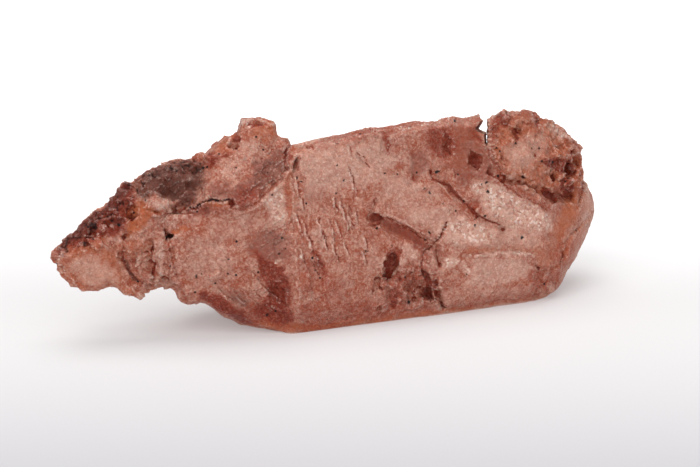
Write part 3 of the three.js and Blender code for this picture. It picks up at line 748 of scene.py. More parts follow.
# how outlines are broken up: how far in pixels, the size of each wave or facet in mm, and the seed.
# Form and colour share the first three, so that they stay together
brokenOutlines = {
    "wander": (1.0, 1.6, 401),
    "jag": (1.3, 0.8, 405),
    "sideJag": (2.0, 0.8, 403),
    "stainWander": (2.6, 1.8, 411),
    "stainJag": (2.0, 0.9, 413),
}

# how the solid's own surface is evened out before it is carved
evening = {
    "normalRounds": 8,       # rounds of averaging, for the way that each point faces
    "broadRounds": 40,
    "fillRounds": 90,        # for the level that hollows are filled to
    "passes": 2,
    "farShare": 0.85,        # on the side away from the lens
    "farFacing": (0.2, 0.5),
    "farTop": (17, 20),      # mm, where that fades out towards the top
    "foot": (0.15, 1.0),     # mm above the floor, below which nothing is carved
    "pastSolid": (0.5, 0.25, 0.3),    # mm that the carved crystal may reach past the solid
}

roughZones = {
    "crest": patch(1, 8, (50, 262), (58, 236), (118, 180), (150, 158), (215, 140), (232, 150), (200, 178),
        (150, 186), (140, 200), (126, 236), (92, 246), (66, 262)),
    "tipFlank": patch(0.55, 12, (95, 240), (140, 205), (170, 232), (150, 290), (112, 290)),
    "tipSmooth": patch(0.06, 8, (66, 258), (98, 248), (124, 270), (130, 292), (84, 292)),
    "shoulder": patch(0.42, 10, (225, 115), (275, 112), (292, 146), (290, 178), (255, 204), (222, 196),
        (205, 165)),
    "hollowFloor": patch(0.3, 6, (148, 182), (186, 176), (198, 196), (168, 203)),
    "termination": patch(0.14, 10, (172, 225), (235, 212), (292, 182), (300, 330), (240, 322), (172, 290)),
    "redCorner": patch(0.4, 12, (258, 262), (290, 262), (298, 330), (240, 322), (232, 305)),
    "frontPale": patch(0.08, 10, (300, 148), (470, 120), (500, 240), (300, 290)),
    "topEdge": patch(0.4, 3, (290, 148), (400, 124), (484, 114), (486, 124), (400, 134), (296, 158)),
    "chippedFoot": patch(0.85, 6, (376, 272), (430, 258), (446, 306), (376, 314)),
    "foot": patch(0.32, 6, (300, 288), (372, 292), (374, 318), (304, 330)),
    "sugar": patch(0.2, 8, (458, 186), (500, 176), (552, 214), (548, 246), (500, 246), (470, 222)),
    "knob": patch(0.75, 7, (486, 110), (530, 106), (575, 135), (590, 185), (566, 204), (542, 204),
        (508, 186), (492, 160)),
    "knobPlain": patch(0.3, 6, (500, 140), (528, 128), (546, 136), (540, 160), (522, 170), (504, 164)),
    "farCorner": patch(0.5, 6, (528, 268), (560, 262), (566, 288), (528, 298)),
    "palePlate": patch(0.05, 6, (446, 258), (535, 256), (535, 296), (440, 304)),
}

# how strongly the faces are drawn with fine slanting lines
streakZones = {
    "leftOfFront": patch(0.5, 8, (298, 190), (362, 190), (372, 262), (340, 282), (300, 290)),
    "termination": patch(0.25, 8, (176, 240), (240, 215), (290, 190), (296, 320), (240, 316), (176, 286)),
    "underGroove": patch(0.5, 4, (470, 224), (545, 228), (545, 250), (480, 250)),
}


def zoneShare(view, zones, start):
    share = start
    for zone in zones.values():
        reach = ease(insideOutline(view, zone["corners"]), -zone["soft"], zone["soft"]) * view["facing"]
        share = share * (1 - reach) + zone["share"] * reach
    return share


def roughStart(points):
    # tip and knob are rough, the top is less so, and the prism faces are nearly plain
    x, z = points[:, 0], points[:, 2]
    atTip = roughness["tip"] * (1 - ease(x, -24, -14))
    atKnob = roughness["knob"] * ease(x, 21, 26) * ease(z, 12, 17)
    atTop = roughness["top"] * ease(z, 22.5, 24.5)
    return np.maximum(np.maximum(atTip, atKnob), np.maximum(atTop, roughness["plain"]))


def jagged(view, points, reach, size, seed):
    # a view shifted by whole facets, so that outlines break into short straight runs
    own = cells(points, size, seed)[0]
    return dict(
        view,
        across=view["across"] + reach * (2 * scramble(own, seed + 41) - 1),
        down=view["down"] + reach * (2 * scramble(own, seed + 43) - 1),
    )


def stepField(points):
    return chips(points, roughness["stepSize"], 61, (1.4, 1, 0.8), 1.2)


def slashField(points):
    # sparse slanting ridges and the hollows beside them
    field = streaks(points, roughness["streakSize"], 95, roughness["streakLean"])
    return ease(field, 0.12, 0.6) - 0.6 * ease(-field, 0.25, 0.7)


def carveRelief(piece):
    points, normals, edges = readMesh(piece)
    evenNormals = unit(neighbourMean(normals, edges, evening["normalRounds"]))
    broadNormals = unit(neighbourMean(evenNormals, edges, evening["broadRounds"]))
    points = nudged(points, photoView(points, evenNormals))
    points = slotBent(points)
    seen = photoView(points, broadNormals)
    farSide = ease(-(broadNormals @ shotAxes()[0]), *evening["farFacing"])
    farSide *= 1 - ease(points[:, 2], *evening["farTop"])
    fill = np.maximum(patchShare(seen, frontFills), evening["farShare"] * farSide)
    wear = patchShare(dict(seen, facing=np.ones(len(points))), frontWear)
    for _ in range(evening["passes"]):
        points = hollowsFilled(points, broadNormals, edges, fill, wear, evening["fillRounds"])
    photo = wavered(photoView(points, broadNormals), points, *brokenOutlines["wander"])
    relief = fineRelief(points, photo)
    carveFeatures(jagged(photo, points, *brokenOutlines["jag"]), relief)
    laidOver(seen, frontCombs, combShare, relief, np.add, "high")
    for view, strength in sideViews(points, broadNormals):
        carveFeatures(jagged(view, points, *brokenOutlines["sideJag"]), relief, strength)
    resting = ease(points[:, 2], *evening["foot"])
    moved = points + evenNormals * (relief * resting)[:, None]
    low, high = (np.array(corner) / mm for corner in cadBounds)
    past = np.array(evening["pastSolid"])
    moved = np.clip(moved, low - past * (1, 1, 0), high + past)
    piece.data.vertices.foreach_set("co", (moved * mm).ravel())
    piece.data.update()


def fineRelief(points, photo):
    # facets, crust, pebbling, frost and streaks, as rough as each part is
    look = roughness
    rough = zoneShare(photo, roughZones, roughStart(points))
    drawn = zoneShare(photo, streakZones, look["drawn"])
    block = chips(points, look["blockSize"], 51, (1.25, 1, 0.8))[0]
    crust, crustGap = chips(points, look["crustSize"], 71, (1, 1, 0.85), 2.8)
    relief = look["swell"] * waves(points, look["swellSize"], 5)
    relief += rough * look["block"] * block
    relief += rough * look["crust"] * (crust - 0.3 * (1 - ease(crustGap, 0, 0.12)))
    relief += (0.25 + 0.75 * rough) * look["pebble"] * waves(points, look["pebbleSize"], 91)
    relief += (0.5 + 0.5 * rough) * look["frost"] * waves(points, look["frostSize"], 93)
    relief += (1 - rough) * look["step"] * stepField(points)[0]
    relief += (1 - rough) * drawn * look["streak"] * slashField(points)
    return relief


def thinOut(piece):
    triangles = sum(len(face.vertices) - 2 for face in piece.data.polygons)
    if triangles > crystalMesh["mostTriangles"]:
        decimate = piece.modifiers.new("thin", "DECIMATE")
        decimate.ratio = crystalMesh["mostTriangles"] / triangles
        bakeModifiers(piece)
    piece.data.shade_smooth()


crystal = resampledCopy("quartz_crystal")
print("crystal resampled,", len(crystal.data.vertices), "points")
carveRelief(crystal)
print("relief carved")
thinOut(crystal)
print("thinned to", len(crystal.data.vertices), "points")


# Colour that the crystal carries on its points: how much rust, dark, pale and so on is at each

stains = {
    # deep red beyond the pits and lines that carry their own
    "rust": {
        "leftFoot": patch(0.5, 6, (296, 254), (314, 250), (322, 290), (300, 300)),
        "underCrack": band(0.5, 7, (190, 214), (206, 208), (228, 210)),
        "underSlot": patch(0.4, 6, (434, 128), (480, 118), (487, 150), (496, 172), (480, 182), (462, 182),
            (450, 172), (440, 158)),
        "underTop": patch(0.75, 9, (424, 124), (456, 120), (462, 150), (448, 168), (430, 160), (422, 140)),
        "topRight": patch(0.5, 4, (424, 114), (484, 107), (486, 124), (430, 130)),
        "underEdge": band(0.95, 8, (206, 296), (226, 307), (246, 320)),
        "footLeft": patch(0.55, 8, (312, 276), (345, 276), (350, 300), (316, 306)),
        "footFar": band(0.4, 7, (450, 306), (530, 296)),
        "bevelFoot": patch(0.55, 6, (552, 244), (584, 236), (576, 262), (556, 276)),
        "footChips": patch(0.6, 6, (376, 284), (398, 268), (422, 262), (440, 300), (392, 310)),
        # darker and redder along the foot
        "foot": patch(0.6, 7, (298, 300), (372, 298), (440, 306), (440, 312), (372, 322), (300, 334)),
        "redCorner": patch(0.95, 6, (248, 247), (264, 253), (276, 264), (286, 268), (292, 292), (298, 326),
            (262, 322), (240, 312), (262, 302), (270, 288), (258, 266)),
        # painted shade along the left side of the corner ridge, in rust red
        "leftOfRidge": band(0.5, 3, (287, 178), (288, 204), (287, 232), (289, 262)),
        "underWedge": patch(0.7, 6, (240, 300), (280, 306), (296, 330), (244, 326)),
        "shoulderFoot": patch(0.7, 5, (230, 192), (246, 182), (256, 186), (270, 186), (262, 200),
            (240, 209), (230, 204)),
        "shoulderBack": patch(0.8, 3, (284, 140), (292, 146), (291, 172), (284, 176)),
        "crest": patch(0.9, 6, (52, 258), (60, 238), (116, 182), (150, 160), (240, 150), (205, 172),
            (150, 180), (134, 205), (124, 232), (90, 244), (66, 252)),
        "crestFar": patch(0.5, 6, (184, 162), (214, 150), (212, 172), (196, 182)),
        # painted shade under the knob's overhang, in rust red
        "knobUndercut": patch(0.55, 5, (488, 150), (498, 160), (508, 182), (540, 198), (564, 176),
            (580, 160), (578, 192), (548, 212), (510, 192), (492, 168)),
        "knobRim": patch(0.4, 6, (562, 140), (582, 150), (590, 186), (576, 196), (566, 176)),
        "knobTopLeft": patch(0.75, 5, (488, 112), (512, 109), (514, 122), (500, 130), (488, 150)),
        "knobTopRight": patch(0.4, 5, (520, 108), (548, 118), (544, 128), (528, 128)),
        "farCorner": patch(0.6, 5, (528, 272), (540, 264), (562, 266), (562, 286), (528, 297)),
        "topEdge": patch(0.6, 4, (296, 148), (350, 128), (400, 118), (484, 108), (486, 122), (456, 123),
            (400, 132), (340, 142)),
        "groove": band(0.5, 5, (446, 180), (458, 192), (470, 206)),
        "trough": band(0.5, 5, (392, 224), (414, 237), (428, 250)),
        "byPlate": band(0.45, 6, (424, 262), (428, 278), (440, 290)),
    },
    # nearly black seams and holes
    "dark": {
        "channel": band(0.6, 3, (124, 262), (128, 270), (136, 278)),
        "crest": band(0.5, 9, (62, 241), (90, 223), (110, 202), (128, 186), (150, 170), (186, 163)),
        "crestShoulder": band(0.4, 8, (124, 192), (134, 185), (144, 178)),
        "longPitFoot": patch(1, 1.2, (382, 275), (385, 275), (385, 280), (382, 280)),
        "overHollow": band(0.3, 8, (150, 174), (170, 168), (202, 162)),
    },
    # paler, frosted quartz, and painted highlights: the glints and shines
    "pale": {
        "topFront": patch(0.5, 5, (304, 142), (350, 130), (356, 144), (310, 158)),
        "tip": patch(0.6, 6, (66, 262), (92, 252), (118, 270), (118, 284), (86, 288)),
        "glint": patch(1, 1.5, (57, 260), (60, 251), (63, 252), (60, 262)),
        "facetA": patch(0.55, 3, (144, 201), (158, 198), (172, 204), (172, 212), (160, 212)),
        "facetB": patch(0.45, 3, (150, 217), (163, 214), (177, 218), (178, 226), (166, 231)),
        "shoulder": patch(0.4, 6, (216, 172), (230, 146), (262, 140), (250, 162), (240, 182), (222, 182)),
        "shoulderTop": patch(1, 2.5, (240, 124), (243, 118), (252, 118), (252, 124), (246, 127)),
        "bevel": patch(0.6, 2.5, (156, 240), (162, 238), (164, 250), (161, 282), (157, 284), (158, 262)),
        "leftOfRidge": patch(0.75, 5, (262, 196), (283, 182), (288, 200), (285, 226), (268, 224)),
        "bandRight": patch(0.35, 4, (274, 226), (288, 224), (289, 250), (278, 248)),
        "underBlock": patch(0.4, 6, (210, 214), (236, 212), (240, 236), (214, 238)),
        "farFace": patch(0.6, 8, (500, 190), (540, 206), (544, 246), (505, 250), (496, 220)),
        "termination": patch(0.45, 12, (186, 240), (226, 232), (236, 262), (214, 290), (184, 276)),
        "glintB": band(1, 1.8, (273, 261.5), (281, 258.5)),
        "upperFront": patch(0.62, 12, (298, 152), (340, 138), (392, 134), (400, 160), (380, 184),
            (330, 196), (300, 190)),
        "midFront": patch(0.5, 10, (376, 170), (410, 176), (440, 192), (436, 222), (400, 212), (380, 200)),
        "middleRight": patch(0.55, 8, (388, 200), (430, 206), (470, 216), (520, 224), (524, 252),
            (470, 250), (432, 232), (400, 220)),
        "besideGroove": patch(0.7, 4, (440, 205), (453, 204), (450, 214), (443, 222)),
        "sugar": patch(1, 6, (470, 184), (498, 182), (520, 198), (552, 216), (548, 230), (516, 226),
            (490, 214)),
        "sugarFoot": patch(0.9, 3, (533, 220), (553, 220), (553, 232), (538, 232)),
        "byFork": patch(0.9, 3, (431, 228), (440, 222), (445, 222), (438, 236)),
        "forkPlate": patch(0.8, 5, (450, 220), (470, 218), (498, 230), (498, 245), (462, 248), (442, 240)),
        "shine": patch(1, 2.5, (442, 257), (452, 255), (457, 262), (450, 268), (444, 265)),
        "shineTail": band(0.8, 3, (452, 258), (464, 266), (470, 272)),
        "plate": patch(0.65, 6, (474, 258), (497, 256), (520, 256), (533, 264), (528, 280), (500, 286),
            (462, 290)),
        "plateFoot": patch(0.35, 4, (446, 290), (532, 284), (530, 298), (448, 306)),
        "plateLine": band(0.7, 2, (476, 256), (497, 253), (526, 254)),
        "besidePit": patch(0.7, 3, (400, 242), (412, 246), (420, 256), (410, 264), (402, 254)),
        "overPit": patch(0.35, 5, (364, 240), (384, 238), (384, 252), (366, 256)),
        "knobFace": patch(0.6, 7, (500, 146), (520, 138), (546, 132), (548, 150), (530, 170), (508, 170)),
        "knobShine": patch(0.6, 4, (545, 164), (559, 160), (561, 172), (549, 174)),
        "knobTop": patch(0.8, 3, (546, 124), (556, 126), (568, 138), (560, 140)),
        "topLine": band(0.9, 1.6, (396, 129), (430, 123), (456, 120)),
        "chips": patch(0.4, 4, (402, 292), (418, 292), (424, 304), (404, 308)),
        "foot": patch(0.3, 5, (364, 288), (384, 294), (388, 308), (370, 312)),
        "crestGlintA": patch(0.9, 1.5, (113, 202), (117, 202), (118, 207), (113, 207)),
        "crestGlintB": patch(0.9, 1.5, (126, 180), (130, 179), (131, 183), (127, 184)),
        "crestGlintC": patch(0.8, 1.5, (154, 161), (159, 160), (160, 166), (155, 166)),
        "crestGlintD": patch(0.8, 1.5, (171, 167), (176, 166), (176, 171), (171, 171)),
    },
    # orange, where light comes through thin quartz over rust
    "ember": {
        "farFoot": patch(0.45, 6, (532, 236), (562, 240), (560, 284), (536, 290)),
        "knobRight": patch(0.7, 5, (558, 150), (588, 160), (590, 200), (562, 200)),
        "knob": patch(0.58, 6, (490, 112), (540, 108), (580, 150), (584, 190), (540, 200), (496, 170)),
        "tip": patch(0.6, 8, (56, 240), (100, 232), (126, 262), (122, 286), (80, 288)),
        "underSlot": patch(0.35, 8, (430, 124), (486, 122), (488, 160), (450, 176)),
        "crestPatch": patch(1, 4, (120, 214), (136, 199), (154, 208), (148, 224), (128, 238)),
        "crestLine": band(1, 2.5, (138, 207), (148, 210), (157, 214)),
        "tipFlank": patch(0.45, 9, (96, 244), (128, 236), (158, 238), (152, 268), (128, 258)),
        "tipRim": band(0.5, 7, (60, 262), (70, 280), (84, 288), (110, 288), (132, 294)),
        "capLine": band(0.8, 2.5, (174, 232), (183, 227), (190, 230)),
        "underCrack": band(0.9, 3, (208, 204), (222, 203), (230, 205)),
        "shoulderTop": patch(0.55, 6, (242, 120), (270, 118), (282, 136), (262, 144), (246, 134)),
        "ridgeTop": band(0.5, 6, (290, 172), (287, 196), (292, 214)),
        "footRim": band(0.7, 5, (246, 322), (280, 326), (300, 330), (380, 322), (460, 310)),
        "footRimFar": band(0.4, 2.5, (460, 310), (520, 301), (552, 292)),
        "ledge": band(0.6, 2.5, (466, 250), (482, 249), (500, 248), (526, 249), (540, 252)),
        "rightSide": patch(0.8, 6, (566, 190), (590, 186), (592, 214), (580, 218), (560, 244), (550, 236),
            (558, 214)),
        "bevel": patch(1, 5, (590, 218), (576, 230), (562, 250), (562, 268), (580, 250)),
        "upperFront": patch(0.35, 7, (294, 150), (340, 136), (376, 134), (370, 146), (320, 158)),
        "leftEdge": patch(0.35, 5, (292, 172), (300, 176), (298, 240), (290, 250)),
    },
    # dark purple-grey
    "plum": {
        "hollow": patch(0.85, 4, (142, 188), (152, 180), (166, 176), (184, 178), (196, 186), (198, 197),
            (190, 208), (176, 203), (160, 197)),
        "crestShoulder": patch(0.8, 4, (134, 186), (148, 179), (156, 190), (148, 199), (138, 200)),
        "hollowTop": patch(0.85, 8, (136, 186), (148, 170), (172, 163), (204, 160), (206, 186), (192, 200),
            (150, 192)),
        "shoulderFacet": patch(0.4, 6, (262, 160), (284, 150), (286, 170), (272, 186), (258, 194),
            (250, 186)),
        "underSide": patch(0.4, 7, (222, 292), (244, 294), (258, 314), (232, 308)),
        "purpleBand": patch(0.3, 7, (262, 232), (286, 228), (288, 246), (270, 252)),
    },
    # lighter purple-grey
    "mauve": {
        "shoulderFacet": patch(0.75, 3, (253, 163), (273, 151), (287, 145), (288, 160), (280, 177),
            (265, 188), (254, 202), (245, 208), (232, 207), (230, 191), (250, 175)),
        "underShoulder": patch(0.6, 6, (206, 182), (232, 180), (234, 198), (208, 200)),
        "underCrack": patch(0.95, 4, (184, 206), (206, 203), (210, 214), (188, 218)),
        "belowSlot": patch(0.6, 5, (453, 124), (478, 122), (487, 150), (497, 172), (488, 186), (474, 180),
            (462, 190), (452, 176), (455, 150)),
        "besideSlot": patch(0.55, 5, (410, 150), (426, 148), (430, 168), (418, 186), (408, 178)),
        "underRim": patch(0.9, 3, (380, 131), (391, 134), (394, 146), (388, 158), (382, 144)),
        "purpleBand": patch(0.7, 8, (250, 238), (270, 228), (289, 236), (291, 260), (266, 264), (244, 252)),
        "greyOval": patch(0.45, 8, (300, 182), (314, 174), (330, 184), (326, 202), (304, 204)),
        "underSide": patch(0.5, 8, (214, 286), (244, 290), (262, 318), (228, 306)),
        "trough": band(0.9, 5, (386, 223), (401, 231), (414, 239), (427, 252)),
        "crackTop": patch(0.4, 4, (186, 200), (200, 196), (204, 200), (192, 206)),
    },
}

# black pores, in photograph pixels
poreWide = 1.1    # pixels

pores = {
    "termination": [(189, 256), (210, 254), (229, 260), (170, 266), (201, 273), (196, 277), (198, 282),
        (220, 267), (228, 273), (216, 211), (259, 220), (282, 238), (285, 249), (279, 254), (267, 315)],
    "tip": [(82, 276), (93, 239), (119, 225), (145, 200), (88, 227), (112, 221), (126, 234), (134, 213)],
    "shoulder": [(248, 144), (219, 154), (207, 167), (268, 173), (264, 150), (203, 168), (233, 150),
        (236, 167)],
    "front": [(327, 173), (297, 178), (301, 181), (337, 166), (337, 193), (341, 156), (344, 181),
        (385, 173), (398, 175), (406, 180), (396, 169), (424, 188), (410, 206), (429, 193), (436, 172),
        (440, 171), (425, 240), (312, 258), (315, 270), (320, 278), (366, 251), (369, 251), (339, 219),
        (377, 228), (376, 318), (328, 320), (444, 204), (441, 217), (430, 233), (458, 174), (467, 181),
        (482, 184), (488, 192), (475, 219), (464, 201), (485, 216), (475, 225), (405, 277), (409, 302),
        (360, 134), (430, 135), (455, 121)],
    "farEnd": [(499, 148), (500, 151), (497, 148), (532, 148), (539, 148), (542, 161), (550, 161),
        (516, 143), (553, 162), (483, 183), (486, 191), (522, 238), (556, 251), (467, 274), (487, 182),
        (545, 196), (524, 178), (498, 176), (567, 191), (544, 284)],
}


def poreShare(view):
    share = np.zeros(len(view["across"]))
    for places in pores.values():
        for i, (x, y) in enumerate(places):
            wide = poreWide * (0.75 + 0.25 * (i % 3))
            away = np.hypot(view["across"] - x, view["down"] - y)
            share = np.maximum(share, ease(1.6 - away / wide, 0, 1) * view["facing"])
    return share


def writeShare(piece, name, share):
    layer = piece.data.attributes.new(name, "FLOAT", "POINT")
    layer.data.foreach_set("value", np.clip(share, 0, 1).astype(np.float32))


# colour that comes from the form, and that the unseen sides carry in large soft patches
staining = {
    "normalRounds": 6,             # rounds of averaging, for the way that each point faces
    "broadRounds": 30,
    "nearRounds": 3,               # for the surface that hollows and crests are measured from
    "wideRounds": 24,
    "nearHollow": (0.02, 0.12),    # mm below that surface, where rust sets in and is full
    "wideHollow": (0.1, 0.45),
    "crest": (0.03, 0.12),         # mm above it, where it is painted paler, a painted highlight on raised parts
    "edge": (0.045, 0.13),         # mm above it, where an edge catches the light
    "side": 0.8,                   # how much of the front's stains the other sides carry
    "foot": (0.3, 1.3),            # mm above the floor, over which the orange light fades
    "clouds": {                    # stain: size in mm, seed, where it sets in and is full, how much
        "rust": (7.0, 421, 0.1, 0.6, 0.6),
        "pale": (7.0, 425, 0.1, 0.6, 0.6),
        "ember": (6.0, 431, 0.3, 0.7, 0.5),
        "mauve": (8.0, 433, 0.3, 0.7, 0.5),
    },
}


def stainCrystal(piece):
    points, normals, edges = readMesh(piece)
    evenNormals = unit(neighbourMean(normals, edges, staining["normalRounds"]))
    broadNormals = unit(neighbourMean(evenNormals, edges, staining["broadRounds"]))
    toNear = neighbourMean(points, edges, staining["nearRounds"]) - points
    toWide = neighbourMean(points, edges, staining["wideRounds"]) - points
    below = np.einsum("ij,ij->i", toNear, evenNormals)
    farBelow = np.einsum("ij,ij->i", toWide, evenNormals)
    seen = photoView(points, broadNormals)
    photo = wavered(seen, points, *brokenOutlines["stainWander"])
    photo = jagged(photo, points, *brokenOutlines["stainJag"])
    crisp = wavered(seen, points, *brokenOutlines["wander"])
    crisp = jagged(crisp, points, *brokenOutlines["jag"])
    share = {name: patchShare(photo, patches) for name, patches in stains.items()}
    colourFeatures(crisp, share)
    for view, _ in sideViews(points, broadNormals):
        broken = jagged(view, points, *brokenOutlines["sideJag"])
        colourFeatures(broken, share)
        for name in staining["clouds"]:
            share[name] = np.maximum(share[name], staining["side"] * patchShare(broken, stains[name]))
    combs = np.zeros(len(points))
    laidOver(seen, frontCombs, combShare, combs, np.maximum, "pale")
    rough = zoneShare(photo, roughZones, roughStart(points))
    drawn = zoneShare(photo, streakZones, roughness["drawn"]) * (1 - rough)
    hollow = ease(below, *staining["nearHollow"]) * 0.4 + ease(farBelow, *staining["wideHollow"]) * 0.75
    share["rust"] = np.maximum(share["rust"], hollow) * (1 - 0.85 * share["plum"])
    # painted shade: the crevices of the roughest parts are darkened nearly to black
    creviceShade = rough * ease(rough, 0.8, 1.0) * ease(below, *staining["nearHollow"]) * 0.8
    share["dark"] = np.maximum(share["dark"], creviceShade)
    # painted highlight: raised parts are painted paler
    crest = ease(-below, *staining["crest"]) * 0.5
    share["pale"] = np.maximum.reduce([share["pale"], crest, np.clip(combs, 0, 0.8)])
    share["ember"] = np.maximum(share["ember"], (1 - ease(points[:, 2], *staining["foot"])) * 0.6)
    for name, (size, seed, low, high, most) in staining["clouds"].items():
        cloud = (1 - seen["facing"]) * ease(layeredWaves(points, size, seed), low, high) * most
        share[name] = np.maximum(share[name], cloud)
    step, stepGap = stepField(points)
    share["edge"] = ease(-below, *staining["edge"])
    share["pore"] = poreShare(seen)
    share["rough"] = rough
    share["drawn"] = drawn
    share["slash"] = 0.5 + 0.5 * drawn * slashField(points)
    share["tone"] = 0.5 + 0.5 * step
    share["flake"] = (1 - ease(stepGap, 0.0, 0.09)) * ease(waves(points, 3.0, 441), -0.1, 0.3)
    for name, values in share.items():
        writeShare(piece, name, values)


stainCrystal(crystal)
print("stains laid on")


# Quartz material. Colours are as the eye sees them, and are turned into linear light

quartzLook = {
    "rose": (0.745, 0.515, 0.435),
    "roseDeep": (0.645, 0.36, 0.26),
    "rust": (0.60, 0.24, 0.135),
    "deepRust": (0.46, 0.125, 0.05),
    "dark": (0.10, 0.04, 0.035),
    "pale": (0.85, 0.672, 0.60),
    "white": (0.95, 0.86, 0.81),
    "ember": (0.72, 0.365, 0.195),
    "mauve": (0.525, 0.30, 0.25),
    "plum": (0.36, 0.178, 0.132),
    "pore": (0.05, 0.045, 0.05),
    "gloss": 0.25,
    "glow": 0.35,                           # how much light passes under the surface
    "glowReach": (0.0009, 0.0003, 0.0002),  # metres, red further than green and blue
    "grain": 0.085,                         # mm, height of each fine texture
    "grit": 0.03,
    "streak": 0.11,
    "line": 0.05,
    "facetSlope": (0.3, 0.9),               # of the finest facets, on plain and on rough faces
    "seamEvery": 3.4,                       # mm between the thin seams in the faces
}


def linear(colour):
    return tuple(((c + 0.055) / 1.055) ** 2.4 if c > 0.04045 else c / 12.92 for c in colour) + (1.0,)


class Weave:
    # a shorthand for adding shader nodes and joining them up

    def __init__(self, material):
        material.use_nodes = True
        self.tree = material.node_tree
        self.tree.nodes.clear()

    def add(self, kind, links=(), **values):
        node = self.tree.nodes.new(kind)
        for name, value in values.items():
            setattr(node, name, value)
        for socket, source in dict(links).items():
            if isinstance(source, bpy.types.NodeSocket):
                self.tree.links.new(source, node.inputs[socket])
            else:
                node.inputs[socket].default_value = source
        return node

    def share(self, name):
        return self.add("ShaderNodeAttribute", attribute_name=name).outputs["Fac"]

    def noise(self, place, scale, detail=3.0, rough=0.55, warp=0.0):
        look = {"Scale": scale, "Detail": detail, "Roughness": rough, "Distortion": warp}
        return self.add("ShaderNodeTexNoise", dict(look, Vector=place)).outputs["Fac"]

    def window(self, value, low, high, toLow=0.0, toHigh=1.0):
        ends = {"Value": value, "From Min": low, "From Max": high, "To Min": toLow, "To Max": toHigh}
        return self.add("ShaderNodeMapRange", ends, interpolation_type="SMOOTHSTEP").outputs["Result"]

    def maths(self, how, first, second):
        return self.add("ShaderNodeMath", {0: first, 1: second}, operation=how).outputs[0]

    def vectors(self, how, first, second):
        return self.add("ShaderNodeVectorMath", {0: first, 1: second}, operation=how)

    def blend(self, share, first, second):
        # sockets go by number, because those for colours share their names with others
        return self.add("ShaderNodeMix", {0: share, 6: first, 7: second}, data_type="RGBA").outputs[2]

    def grains(self, place, size, channel=0):
        # cells, each with a value of its own from 0 to 1
        pattern = self.add("ShaderNodeTexVoronoi", {"Vector": place, "Scale": size, "Randomness": 1.0})
        values = self.add("ShaderNodeSeparateColor", {"Color": pattern.outputs["Color"]}).outputs[channel]
        return pattern, values


